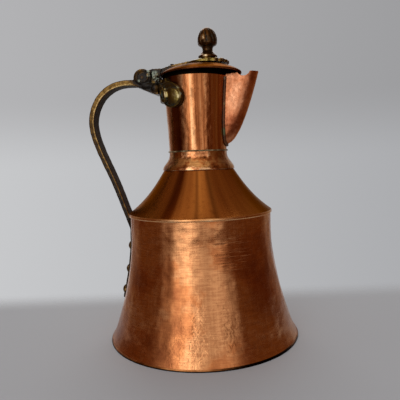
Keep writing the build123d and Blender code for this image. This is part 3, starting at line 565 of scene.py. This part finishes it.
def solder(name, scale, detail, uneven, stops, metallic, roughness, green=()):
    """Soft solder with a mottled skin. green lists (x, y, z, reach, colour) of its stains."""
    material, tree, place = fresh(name)
    mottle = add(tree, "TexNoise", {"Vector": place, "Scale": scale, "Detail": detail, "Roughness": uneven})
    base = add(tree, "ValToRGB", {0: mottle}, stops=stops)
    for *centre, reach, colour in green:
        base = stained(tree, base, within(tree, place, centre, reach), colour)
    metal = add(tree, "BsdfPrincipled", {"Base Color": base, "Metallic": metallic, "Roughness": roughness})
    add(tree, "OutputMaterial", {"Surface": metal})
    return material


# Tin solder: the thin pale line at the foot of the neck.
tin_solder = solder("dull_tin_solder", 160.0, 4.0, 0.5, metallic=0.8, roughness=0.45,
    stops=[(0.35, "#5B4A30"), (0.5, "#9A8C68"), (0.65, "#CDBF9C")])
# The spout's solder: dark brown, a painted shadow along the seam, and green at its two ends.
seam_solder = solder("dark_solder_painted_shadow_green_ends", 130.0, 5.0, 0.7, metallic=0.5, roughness=0.5,
    stops=[(0.35, "#3E1E0E"), (0.6, "#643818"), (0.75, "#7A7450")],
    green=[(29, -14, 276, 5, VERDIGRIS), (30, -12, 221, 6, OLD_GREEN)])
print("solder made")

# %% [markdown]
# The raised body is a set of turned forms, each an outline spun round the upright axis. A
# hammered sheet isn't quite round, so the skin then gets shallow dents, as wide as a hammer's
# face. They are real, because bump alone leaves the bands of light with straight edges.

# %% Lines of the body, in millimetres
WAIST_RADIUS, WAIST_HEIGHT, FOOT_RADIUS, LIP_WALL, FLARE = 77.0, 115.0, 103.4, 1.0, 1.7
RIDGE_RADIUS, RIDGE_HEIGHT, RIDGE_HOOK = 78.3, 136.8, 2.6
COLLAR_FOOT_Z, COLLAR_TOP_Z, COLLAR_FOOT_RADIUS = 182.0, 201.8, 39.5
NECK_FOOT_RADIUS, NECK_RIM_RADIUS, RIM_Z = 31.6, 35.4, 278.5
SHEET = 1.2
BLOW_REACH, LONG_FLUTES = 0.62, 0.16  # share of a blow's size, and how much flutes are stretched
FADE_BELOW, FADE_ABOVE = 8, 12  # mm over which dents fade, below and above a part that stays still


def skirt_radius(z):
    below_waist = max(0.0, 1 - z / WAIST_HEIGHT)
    return WAIST_RADIUS + (FOOT_RADIUS - LIP_WALL - 0.1 - WAIST_RADIUS) * below_waist**FLARE


def shoulder_radius(z):
    share = (COLLAR_FOOT_Z - z) / (COLLAR_FOOT_Z - RIDGE_HEIGHT)
    top = COLLAR_FOOT_RADIUS - 1.25
    return top + (RIDGE_RADIUS - 0.3 - top) * (0.72 * share + 0.28 * share**3)


def collar_radius(z):
    share = (z - COLLAR_FOOT_Z) / (COLLAR_TOP_Z - COLLAR_FOOT_Z)
    return NECK_FOOT_RADIUS + (COLLAR_FOOT_RADIUS - NECK_FOOT_RADIUS) * (0.5 + 0.5 * cos(pi * share)) ** 1.7


def neck_radius(z):
    share = (z - COLLAR_TOP_Z) / (RIM_Z - COLLAR_TOP_Z)
    return NECK_FOOT_RADIUS + (NECK_RIM_RADIUS - NECK_FOOT_RADIUS) * share**1.6


def heights(low, high, count):
    """Evenly spaced heights, both ends included."""
    return [low + (high - low) * i / count for i in range(count + 1)]


def wall(radius, low, high, count, shift=0.0):
    """One face of a sheet, as (radius, height) pairs, shifted outwards by a little."""
    return [(radius(z) + shift, z) for z in heights(low, high, count)]


print("skirt radius at the foot:", round(skirt_radius(0), 1), "mm")

# %% Helpers that spin, dent and finish a piece


def turned(shape, profile, centre_x, steps):
    """Spins some of a bmesh round an upright axis, closes the seam and faces it outwards."""
    bmesh.ops.spin(shape, geom=profile, cent=(centre_x * MM, 0, 0), axis=(0, 0, 1), angle=2 * pi,
        steps=steps, use_merge=True)
    bmesh.ops.remove_doubles(shape, verts=shape.verts, dist=1e-6)
    bmesh.ops.recalc_face_normals(shape, faces=shape.faces)
    return shape


def spun(outline, steps, centre_x=0.0, closed=True):
    """An outline of (radius, height) in millimetres, spun round an upright axis."""
    shape = bmesh.new()
    corners = [shape.verts.new(((centre_x + r) * MM, 0, z * MM)) for r, z in outline]
    followers = corners[1:] + (corners[:1] if closed else [])
    edges = [shape.edges.new(pair) for pair in zip(corners, followers)]
    return turned(shape, corners + edges, centre_x, steps)


def to_blow(spot, size, seed):
    """Distance to the middle of the nearest hammer blow, in sizes of a blow."""
    shifted = spot / size + Vector((seed, 0, 0))
    return (noise.voronoi(shifted)[1][0] - shifted).length


def unevenness(spot, size, seed):
    """A slow unevenness, from 0 to 1."""
    return 0.5 + 0.5 * noise.noise(spot / size + Vector((0, seed, 0)))


def hammered(shape, depth, size, seed, swell, swell_size=45.0, flutes=0.0, flute_size=12.0, centre_x=0.0,
        upright=False, still_above=999.0, still_below=-999.0):
    """Dents, a slower swell and long upright flutes, in millimetres, always inwards."""
    for vertex in shape.verts:
        spot = vertex.co / MM
        above, below = (spot.z - still_below) / FADE_ABOVE, (still_above - spot.z) / FADE_BELOW
        calm = min(1.0, max(0.0, below), max(0.0, above))
        blow = max(0.0, 1 - (to_blow(spot, size, seed) / BLOW_REACH) ** 2)
        slow = unevenness(spot, swell_size, seed)
        long_spot = Vector((spot.x, spot.y, spot.z * LONG_FLUTES)) / flute_size + Vector((0, 0, seed))
        flute = 0.5 + 0.5 * noise.noise(long_spot)
        move = (depth * blow + swell * slow + flutes * flute) * calm * MM
        outwards = Vector((vertex.co.x - centre_x * MM, vertex.co.y, 0))
        if upright:
            vertex.co.z -= move
        elif outwards.length > 0.002:
            vertex.co -= outwards.normalized() * move


def mark_wear(mesh, rounds):
    """Stores how far each point stands proud: above 0 on edges, below 0 in hollows."""
    count = len(mesh.vertices)
    spots, normals = np.empty(count * 3), np.empty(count * 3)
    mesh.vertices.foreach_get("co", spots)
    mesh.vertices.foreach_get("normal", normals)
    spots, normals = spots.reshape(-1, 3), normals.reshape(-1, 3)
    ends = np.empty(len(mesh.edges) * 2, dtype=np.int32)
    mesh.edges.foreach_get("vertices", ends)
    first, last = ends.reshape(-1, 2).T
    apart = spots[first] - spots[last]
    reach = np.linalg.norm(apart, axis=1) + 1e-9
    rise = np.bincount(first, (apart * normals[first]).sum(1) / reach, count)
    rise -= np.bincount(last, (apart * normals[last]).sum(1) / reach, count)
    shared = np.bincount(first, minlength=count) + np.bincount(last, minlength=count)
    wear = rise / shared
    for _ in range(rounds):
        wear = (np.bincount(first, wear[last], count) + np.bincount(last, wear[first], count)) / shared
    mesh.attributes.new("wear", "FLOAT", "POINT").data.foreach_set("value", wear.astype(np.float32))
    print("  wear from", round(np.percentile(wear, 2), 3), "to", round(np.percentile(wear, 98), 3))


def finished(shape, name, material, body, slot, *replaced, sharp=35, wear_rounds=0):
    """Turns a bmesh into a shaded piece that rides on a body and stands for CAD nodes."""
    open_edges = sum(1 for edge in shape.edges if len(edge.link_faces) != 2)
    mesh = mesh_of(shape, name)
    mesh.shade_smooth()
    mesh.set_sharp_from_angle(angle=radians(sharp))
    mesh.materials.append(material)
    if wear_rounds:
        mark_wear(mesh, wear_rounds)
    piece = linked(name, mesh)
    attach(piece, body)
    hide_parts(*replaced)
    print(name, len(mesh.polygons), "faces", open_edges, "open edges")
    return piece


def off_axis(face, centre_x):
    """How far a face is from an upright axis, in millimetres."""
    return Vector((face.center.x / MM - centre_x, face.center.y / MM)).length


def second_finish(piece, material, chosen):
    """Gives a second material to the faces for which chosen says so."""
    piece.data.materials.append(material)
    for face in piece.data.polygons:
        face.material_index = 1 if chosen(face) else 0


# %% [markdown]
# The skirt is one sheet, raised from the waist out to the foot. Planishing left shallow blows
# and long upright flutes, which break the bands of light. Its foot kicks out a little and
# stays true, because the base plate's thin lip is beaten tight against it there.

# %% Skirt
SKIRT_RINGS, BODY_STEPS = 96, 320
FOOT_KICK, KICK_HIGH = 1.0, 14.0


def foot_radius(z):
    return skirt_radius(z) + FOOT_KICK * max(0.0, 1 - z / KICK_HIGH) ** 2


inner = wall(skirt_radius, RIDGE_HEIGHT - 0.2, 1.2, 16, -SHEET)
outer = wall(foot_radius, 1.2, 8.0, 12) + wall(foot_radius, 8.0, RIDGE_HEIGHT - 0.2, SKIRT_RINGS)[1:]
shape = spun(outer + inner, BODY_STEPS)
hammered(shape, 0.14, 8.0, 3.0, swell=0.5, swell_size=15.0, flutes=0.75, flute_size=11.0, still_below=2.0)
finished(shape, "hammered_skirt", body_copper, "vessel", "copper", "skirt", sharp=50)

# %% [markdown]
# The base plate is a flat disc. Its edge was turned up and beaten against the skirt, so that
# only a line shows between the two sheets.

# %% Base plate
LIP_HIGH, LIP_THICK, PLATE_THICK = 2.4, 0.3, 1.0

outer = [(0, 0), (FOOT_RADIUS - 0.6, 0), (FOOT_RADIUS - 0.15, 0.15)]
outer += wall(foot_radius, 0.5, LIP_HIGH, 6, LIP_THICK)
inner = wall(foot_radius, LIP_HIGH, PLATE_THICK, 4, 0.05)
shape = spun(outer + inner + [(0, PLATE_THICK)], BODY_STEPS, closed=False)
finished(shape, "lipped_base_plate", foot_copper, "vessel", "copper", "base_plate", sharp=50)

# %% [markdown]
# The shoulder is a concave cone whose lower edge is hooked over the skirt as a sharp ridge.
# It is the smoothest sheet, so it gets only slow swells. The hook takes the rubbed finish,
# because a ridge is what hands and cloths touch first; its paler colour is also a painted
# highlight that widens the thin bright line along the ridge.

# %% Shoulder
SHOULDER_RINGS = 48
HOOK = [(-1.0, -RIDGE_HOOK), (-0.4, -RIDGE_HOOK), (-0.05, 0.5 - RIDGE_HOOK), (0.0, -1.2), (-0.08, -0.6),
        (-0.3, -0.1), (-0.75, 0.4)]  # from the ridge's edge
outer = [(RIDGE_RADIUS + out, RIDGE_HEIGHT + up) for out, up in HOOK]
outer += wall(shoulder_radius, RIDGE_HEIGHT + 0.8, COLLAR_FOOT_Z + 3, SHOULDER_RINGS)
inner = wall(shoulder_radius, COLLAR_FOOT_Z + 3, RIDGE_HEIGHT + 0.3, 12, -SHEET)
shape = spun(outer + inner, BODY_STEPS)
hammered(shape, 0.02, 16.0, 8.0, swell=0.35, swell_size=34.0, flutes=0.4, flute_size=24.0)
cone = finished(shape, "coned_shoulder", shoulder_copper, "vessel", "copper", "shoulder")
second_finish(cone, ridge_copper, lambda face: face.center.z < (RIDGE_HEIGHT + 0.5) * MM)

# %% [markdown]
# The collar is beaten down over the cone's top and ends in a small step. The neck, a flared
# tube, stands on it. It is spun as a skin, cut open behind the spout and only then given its
# wall, so the cut gets clean edges. It stays smooth where the lid's plug goes.

# %% Collar and neck
outer = [(COLLAR_FOOT_RADIUS - 0.9, COLLAR_FOOT_Z), (COLLAR_FOOT_RADIUS - 0.2, COLLAR_FOOT_Z + 0.1)]
outer += wall(collar_radius, COLLAR_FOOT_Z + 0.5, COLLAR_TOP_Z, 24)
inner = wall(collar_radius, COLLAR_TOP_Z, COLLAR_FOOT_Z + 0.5, 10, -1.0)
shape = spun(outer + inner, 200)
hammered(shape, 0.3, 4.0, 5.0, swell=0.3, swell_size=9.0, flutes=0.3, flute_size=8.0)
finished(shape, "neck_collar_lapped", collar_copper, "vessel", "copper", "neck_collar")

NOTCH_HALF, NOTCH_FOOT_Z = 11.8, 216.0  # the opening behind the spout

shape = spun(wall(neck_radius, COLLAR_TOP_Z + 0.1, RIM_Z, 72), 240, closed=False)
hammered(shape, 0.16, 5.0, 21.0, swell=0.3, swell_size=10.0, flutes=0.3, flute_size=7.0, still_above=274.0)
for point, normal in (((0, NOTCH_HALF, 0), (0, 1, 0)), ((0, -NOTCH_HALF, 0), (0, 1, 0)),
        ((0, 0, NOTCH_FOOT_Z), (0, 0, 1))):
    cut(shape, Vector(point) * MM, normal, dist=1e-6)
middles = [(face, face.calc_center_median() / MM) for face in shape.faces]
notch = [face for face, spot in middles if spot.x > 0 and abs(spot.y) < NOTCH_HALF and spot.z > NOTCH_FOOT_Z]
bmesh.ops.delete(shape, geom=notch, context="FACES")
bmesh.ops.recalc_face_normals(shape, faces=shape.faces)
bmesh.ops.solidify(shape, geom=shape.faces[:], thickness=SHEET * MM)
finished(shape, "flared_neck", neck_copper, "vessel", "copper", "neck")

# %% [markdown]
# The lid is a shallow dome of the same sheet, with its edge rolled into a bead. Its
# underside gets a near-black finish of its own, tarnish and painted shade together.

# %% Lid dome
LID_RADIUS, LID_CENTRE_X, LID_FOOT_Z, LID_RISE, LID_POWER, BEAD = 43.4, 6.2, 284.0, 8.5, 3.5, 1.0


def lid_z(r):
    return LID_FOOT_Z + LID_RISE * (1 - (r / LID_RADIUS) ** LID_POWER)


rim_x, rim_z = LID_RADIUS - BEAD, LID_FOOT_Z - 0.6
outer = [(r, lid_z(r)) for r in heights(0.0, rim_x, 40)]
bead = [(rim_x + BEAD * cos(radians(a)), rim_z + BEAD * sin(radians(a))) for a in range(60, -181, -20)]
inner = [(r, lid_z(r) - 1.1) for r in heights(rim_x - 1.6, 0.0, 14)]
shape = spun(outer + bead + inner, 240, LID_CENTRE_X, closed=False)
hammered(shape, 0.0, 9.0, 2.0, swell=0.25, centre_x=LID_CENTRE_X, upright=True)
lid = finished(shape, "copper_lid_dome", lid_copper, "lid", "copper", "lid_dome")


def under_lid(face):
    return face.normal.z < 0 and off_axis(face, LID_CENTRE_X) < rim_x - 0.4


second_finish(lid, lid_underside, under_lid)

# %% [markdown]
# A casting is one skin over every shape in it. A merged copy of the CAD part gets the lumps,
# rings and mounds that the foundry left, and a fine voxel skin over them all rounds the
# edges as sand casting does. Then every point sinks a little, so it stays in its room.

# %% Helpers for castings


def copied(*names):
    """A merged copy of some CAD nodes."""
    shape = bmesh.new()
    for name in names:
        shape.from_mesh(nodes[name].data)
    bmesh.ops.remove_doubles(shape, verts=shape.verts, dist=1e-6)
    return shape


def joined(shape, addition, place=Matrix.Identity(4), both_sides=True):
    """Adds another bmesh at a place, and its mirror image across the handle's plane."""
    bits = mesh_of(addition, "bits")
    bits.transform(place)
    shape.from_mesh(bits)
    if both_sides:
        bits.transform(Matrix.Scale(-1, 4, (0, 1, 0)))
        bits.flip_normals()
        shape.from_mesh(bits)
    bpy.data.meshes.remove(bits)


def lump(*half_sizes):
    """A rounded lump with these half sizes in millimetres."""
    shape = bmesh.new()
    bmesh.ops.create_icosphere(shape, subdivisions=3, radius=MM)
    bmesh.ops.scale(shape, vec=half_sizes, verts=shape.verts)
    return shape


def oval_ring(half_wide, half_tall, thick):
    """A lying ring of round section, in millimetres."""
    shape = bmesh.new()
    upright = Matrix.Translation((half_wide * MM, 0, 0)) @ Matrix.Rotation(radians(90), 4, "X")
    bmesh.ops.create_circle(shape, segments=14, radius=thick * MM, matrix=upright)
    turned(shape, shape.verts[:] + shape.edges[:], 0, 64)
    bmesh.ops.scale(shape, vec=(1, half_tall / half_wide, 1), verts=shape.verts)
    return shape


def at(x, y, z):
    return Matrix.Translation(Vector((x, y, z)) * MM)


def lumps(shape, *rows):
    """Adds mirrored pairs of lumps, each given by its half sizes and its place."""
    for half_sizes, place in rows:
        joined(shape, lump(*half_sizes), at(*place))


def without_specks(shape, fewest=60):
    """Removes the tiny shells that a voxel skin leaves round trapped gaps."""
    seen, specks = set(), []
    for start in shape.verts:
        if start in seen:
            continue
        seen.add(start)
        shell = [start]
        for vertex in shell:
            others = [edge.other_vert(vertex) for edge in vertex.link_edges]
            shell += [other for other in others if other not in seen]
            seen.update(others)
        if len(shell) < fewest:
            specks += shell
    bmesh.ops.delete(shape, geom=specks, context="VERTS")


def cast(shape, grain_mm, soften=2):
    """One closed skin over everything in the bmesh."""
    pattern = linked("pattern", mesh_of(shape, "pattern"))
    skin = pattern.modifiers.new("skin", "REMESH")
    skin.mode = "VOXEL"
    skin.voxel_size = grain_mm * MM
    shape = bmesh.new()
    shape.from_object(pattern, bpy.context.evaluated_depsgraph_get())
    bpy.data.objects.remove(pattern)
    without_specks(shape)
    for _ in range(soften):
        bmesh.ops.smooth_vert(shape, verts=shape.verts, factor=0.5, use_axis_x=True, use_axis_y=True,
            use_axis_z=True)
    shape.normal_update()
    return shape


def dented(shape, depth, size, seed, swell=0.0, swell_size=12.0):
    """Sinks every point along its normal, by rounded blows and a slower swell, in millimetres."""
    for vertex in shape.verts:
        spot = vertex.co / MM
        blow = min(1.0, to_blow(spot, size, seed) / 0.7) ** 2
        vertex.co -= vertex.normal * (depth * blow + swell * unevenness(spot, swell_size, seed)) * MM


def casting(shape, name, material, body, *replaced):
    """A finished piece of cast brass, with the wear attribute that the brass reads."""
    return finished(shape, name, material, body, "aged_brass", *replaced, sharp=60, wear_rounds=2)


print("casting helpers ready")

# %% [markdown]
# The handle is a flat brass strap. At the top it swells into two cheeks that hold the lid's
# pin, each a rough mound with a raised ring round the pin. Fingers polish the arris at the
# hollow's side, and a painted highlight is laid along it there; both go into the wear
# attribute from the way each point faces. The inner face and the outer arris, which lie in
# shade, get a finish of painted shade.

# %% Handle
PIN_X, PIN_Z, CHEEK_FACE = -56.6, 282.2, 9.6
HINGE_END = PIN_X - 8.0  # the strap starts behind this
HOLLOW_X, HOLLOW_Z, ARRIS_POLISH_AND_HIGHLIGHT = -70.0, 200.0, 0.3

shape = copied("handle")
flat_on = Matrix.Rotation(radians(90), 4, "X")
lumps(shape, ((8.8, 1.5, 8.0), (PIN_X, -CHEEK_FACE + 0.3, PIN_Z)))
ring_place = at(PIN_X + 1.4, -CHEEK_FACE - 0.6, PIN_Z + 0.6) @ flat_on
joined(shape, oval_ring(5.2, 4.6, 0.8), ring_place)
lumps(shape, ((3.2, 1.2, 2.8), (-49.8, -9.9, 287.2)), ((7.0, 2.2, 3.6), (-51.5, -8.4, 273.5)),
    ((5.4, 3.2, 5.0), (-42.8, -8.0, 270.8)))
shape = cast(shape, 0.55, soften=3)
dented(shape, 0.06, 4.2, 4.0, swell=0.4, swell_size=4.5)
strap = casting(shape, "cast_strap_handle", handle_brass, "vessel", "handle")


def hollow_share(spot, normal):
    """How much a point of the strap faces the middle of the hollow, from -1 to 1."""
    towards = Vector((HOLLOW_X * MM - spot.x, 0, HOLLOW_Z * MM - spot.z)).normalized()
    return towards.dot(normal)


# A painted highlight goes along the arris at the hollow's side, where fingers also polish it.
worn = strap.data.attributes["wear"].data
for vertex in strap.data.vertices:  # fingers polish the arris at the hollow's side
    sideways = abs(vertex.normal.y)
    polish_and_highlight = max(0.0, 1 - ((sideways - 0.7) / 0.4) ** 2)
    if vertex.co.x < HINGE_END * MM and hollow_share(vertex.co, vertex.normal) > 0.1:
        worn[vertex.index].value += ARRIS_POLISH_AND_HIGHLIGHT * polish_and_highlight


def in_painted_shade(face):
    """Painted shade goes on the strap's inner face and along its outer arris."""
    sideways = abs(face.normal.y)
    share = hollow_share(face.center, face.normal)
    inner = sideways < 0.5 and share > 0.1
    outer_arris = 0.25 < sideways < 0.9 and share < -0.1
    return face.center.x < HINGE_END * MM and (inner or outer_arris)


second_finish(strap, painted_shade_brass, in_painted_shade)

# %% [markdown]
# A brass saddle hugs the back of the neck and carries an oval boss on each side. A heavy rim
# leans round a rubbed, leaf-shaped face, and a smaller raised loop stands round a dark hollow
# at its back edge. These are laid flat, then wrapped round the neck. A block fills the corner
# between saddle and handle.

# %% Saddle and bosses
SADDLE_ANGLE, SADDLE_Z, SADDLE_OUTSIDE = 59.0, 258.2, 39.0
PAD_TILT, PAD_SHIFT, PAD_RAISE = -35.0, -3.2, 1.6
PAD_HALF_LONG, PAD_HALF_TALL, PAD_DEEP = 16, 13, 12  # the part of the saddle that is a pad


def on_pad(along, up, out):
    """A place on the near pad: along the neck's girth, up it and out of it."""
    angle = radians(SADDLE_ANGLE)
    girth = Vector((sin(angle), -cos(angle), 0))
    outwards = Vector((-cos(angle), -sin(angle), 0))
    middle = outwards * (SADDLE_OUTSIDE + out) + Vector((0, 0, SADDLE_Z + up)) + girth * along
    frame_of_pad = Matrix((girth, Vector((0, 0, 1)), outwards)).transposed().to_4x4()
    return Matrix.Translation(middle * MM) @ frame_of_pad


def on_neck(shape, along, up, out, turn):
    """Turns and shifts a flat shape on the near pad, then bends it back round the neck."""
    bmesh.ops.rotate(shape, verts=shape.verts, cent=(0, 0, 0), matrix=Matrix.Rotation(radians(turn), 3, "Z"))
    for vertex in shape.verts:
        vertex.co += Vector((along, up, out)) * MM
        vertex.co.z -= vertex.co.x**2 / (2 * SADDLE_OUTSIDE * MM)
    return shape


shape = copied("neck_saddle")
near_pad = on_pad(0, 0, 0)
flatten = near_pad.inverted()
slant = Matrix.Rotation(radians(PAD_TILT), 2)
for vertex in shape.verts:
    side = 1 if vertex.co.y > 0 else -1
    spot = flatten @ Vector((vertex.co.x, -side * vertex.co.y, vertex.co.z)) / MM
    if spot.z > -PAD_DEEP and abs(spot.x) < PAD_HALF_LONG and abs(spot.y) < PAD_HALF_TALL:
        flat = spot.z + spot.x**2 / (2 * SADDLE_OUTSIDE)
        along, up = slant @ Vector((spot.x, spot.y)) + Vector((PAD_SHIFT, PAD_RAISE))
        moved = near_pad @ (Vector((along, up, flat - along**2 / (2 * SADDLE_OUTSIDE))) * MM)
        vertex.co = Vector((moved.x, -side * moved.y, moved.z))
heavy_rim = on_neck(oval_ring(14.3, 11.7, 1.2), PAD_SHIFT, PAD_RAISE, 0.2, PAD_TILT)
joined(shape, heavy_rim, near_pad)
joined(shape, on_neck(lump(5.4, 7.6, 2.4), -9.8, 1.4, 0.8, 14), near_pad)
joined(shape, on_neck(oval_ring(3.9, 6.6, 1.15), -10.4, 1.8, 3.9, 14), near_pad)
LEAF_LONG, LEAF_TALL, LEAF_FLAT = 10.2, 8.2, 1.6
leaf = lump(LEAF_LONG, LEAF_TALL, 4.4)
for vertex in leaf.verts:
    vertex.co.y *= 1 - 0.45 * max(0.0, -vertex.co.x / (LEAF_LONG * MM))
    vertex.co.z = min(vertex.co.z, LEAF_FLAT * MM + 0.25 * (vertex.co.z - LEAF_FLAT * MM))
joined(shape, on_neck(leaf, 1.4, 0.2, 0.9, PAD_TILT - 8), near_pad)
joined(shape, lump(4.4, 4.4, 6.0), on_pad(0, 0, -5.5))
filler = bmesh.new()
bmesh.ops.create_cube(filler, size=MM)
bmesh.ops.scale(filler, vec=(10.8, 17.6, 10.2), verts=filler.verts)
joined(shape, filler, at(-41.3, 0, 276.3), both_sides=False)
facet = at(-41.9, -9.3, 282.8) @ Matrix.Rotation(radians(48), 4, "Y")
joined(shape, lump(2.1, 1.1, 4.6), facet)
lumps(shape, ((2.0, 2.3, 2.4), (-39.6, -10.4, 277.6)), ((1.5, 2.4, 3.0), (-36.3, -12.8, 277.8)),
    ((2.2, 2.4, 2.6), (-33.9, -15.6, 275.8)))
shape = cast(shape, 0.42)
dented(shape, 0.12, 4.6, 6.0, swell=0.35, swell_size=4.0)
casting(shape, "saddle_with_bosses", boss_brass, "vessel", "neck_saddle", "saddle_bosses")

# %% [markdown]
# One brass casting holds the lid: a knuckle on the pin, an arm that follows the dome with
# filed notches along its edges, and a plate with a lobed edge and a low mound for the finial.

# %% Lid strap
FINIAL_X, PLATE_TOP, NOTCH_PITCH, NOTCH_DEPTH = 14.2, 295.9, 3.6, 0.3
PLATE_REACH, PLATE_END_X, LOBES_X, LOBES_RADIUS = 22, 26, 15.3, 17.6

shape = copied("lid_strap")
MOUND = [(0, -2.9), (21.2, -2.9), (21.3, -0.6), (19.0, 0.3), (15.0, 1.0), (12.0, 1.9), (10.4, 3.1), (0, 3.1)]
mound = [(out, PLATE_TOP + up) for out, up in MOUND]
joined(shape, spun(mound, 96, FINIAL_X - 1.7, closed=False), both_sides=False)
lumps(shape, ((3.6, 1.3, 2.6), (-43.2, -6.6, 286.6)))
for degrees in (-62, -36, -10, 10, 36, 62):
    angle = radians(degrees)
    place = at(LOBES_X + LOBES_RADIUS * cos(angle), LOBES_RADIUS * sin(angle), PLATE_TOP - 0.2)
    joined(shape, lump(3.2, 3.2, 1.7), place, both_sides=False)
shape = cast(shape, 0.42)
for vertex in shape.verts:
    spot = vertex.co / MM
    on_edge = min(1.0, max(0.0, (abs(spot.y) - 4.2) / 1.2))
    if -46 < spot.x < -8 and vertex.normal.z > 0.1:
        vertex.co.z -= NOTCH_DEPTH * MM * on_edge * max(0.0, cos(2 * pi * spot.x / NOTCH_PITCH)) ** 0.7
shape.normal_update()
dented(shape, 0.06, 4.5, 9.0, swell=0.25, swell_size=4.5)
arm = casting(shape, "notched_lid_strap", strap_brass, "lid", "lid_strap")


def on_plate(face):
    return off_axis(face, FINIAL_X - 1) < PLATE_REACH and face.center.x < PLATE_END_X * MM


second_finish(arm, plate_brass, on_plate)

# %% [markdown]
# The finial is a bud with upright leaves on a waisted foot. Handling left the leaves soft, so
# shallow grooves draw them, which fade out towards the bud's foot and tip.

# %% Finial
BUD_FOOT_Z, BUD_TOP_Z, LEAVES, GROOVE = 313.0, 331.0, 9, 0.10
STOUTER_BUD, STOUTER_WAIST = 0.06, 0.12  # shares of the radius


def widen(vertex, share):
    """Moves a point away from the finial's axis by a share of its distance."""
    vertex.co.x += (vertex.co.x - FINIAL_X * MM) * share
    vertex.co.y += vertex.co.y * share


shape = cast(copied("finial"), 0.36)
for vertex in shape.verts:
    height = (vertex.co.z / MM - BUD_FOOT_Z) / (BUD_TOP_Z - BUD_FOOT_Z)
    if -0.5 < height < 0.2:
        widen(vertex, STOUTER_WAIST * cos(pi * (height + 0.15) / 0.7))
    if 0 < height < 1:
        widen(vertex, STOUTER_BUD)
        turn = atan2(vertex.co.y, vertex.co.x - FINIAL_X * MM) + 0.5 * height
        widen(vertex, -GROOVE * sin(pi * height) ** 0.5 * (1 - abs(sin(LEAVES / 2 * turn)) ** 0.5))
shape.normal_update()
dented(shape, 0.12, 4.0, 3.0, swell=0.15, swell_size=5.0)
casting(shape, "leafy_bud_finial", finial_brass, "lid", "finial")

# %% [markdown]
# The spout is bent from one sheet: flat sides, a round nose and an open top. The voxel
# skin gives it an even mesh, which then takes the same shallow dents as the body.

# %% Spout
shape = cast(copied("spout"), 0.4, soften=1)
dented(shape, 0.14, 5.0, 5.0, swell=0.2, swell_size=9.0)
finished(shape, "beak_spout", spout_copper, "vessel", "copper", "spout", sharp=60)

# %% [markdown]
# The lid's rivet is hammered nearly flush with the arm, and the three tail rivets keep their
# round heads, uneven from the blows that closed them.

# %% Rivets
shape = copied("strap_rivet")
arm_surface = max(vertex.co.z for vertex in shape.verts) - 1.7 * MM
for vertex in shape.verts:
    vertex.co.z = min(vertex.co.z, arm_surface + 0.3 * (vertex.co.z - arm_surface))
shape = cast(shape, 0.3)
casting(shape, "flush_strap_rivet", hinge_brass, "lid", "strap_rivet")

shape = cast(copied("tail_rivets"), 0.35)
dented(shape, 0.2, 3.6, 7.0)
casting(shape, "peened_tail_rivets", rivet_brass, "vessel", "tail_rivets")

# %% [markdown]
# The solder, the pin, the lid's seat and the hidden washers keep their measured shape. They
# are as plain as the real ones, so they only get finishes.

# %% Materials of the CAD nodes
slots = {row["node"]: row["material_slot"] for row in frame["record"]["subparts"]}
by_slot = {"copper": body_copper, "aged_brass": handle_brass, "solder": tin_solder}
# the lid's seat gets a near-black finish of tarnish and painted shade
by_node = {"lid_flange": seat_tarnish_and_shade, "hinge_pin": hinge_brass, "spout_solder": seam_solder}
for name, piece in nodes.items():
    piece.data.materials.clear()
    piece.data.materials.append(by_node.get(name, by_slot[slots[name]]))
print("materials on", len(nodes), "nodes")
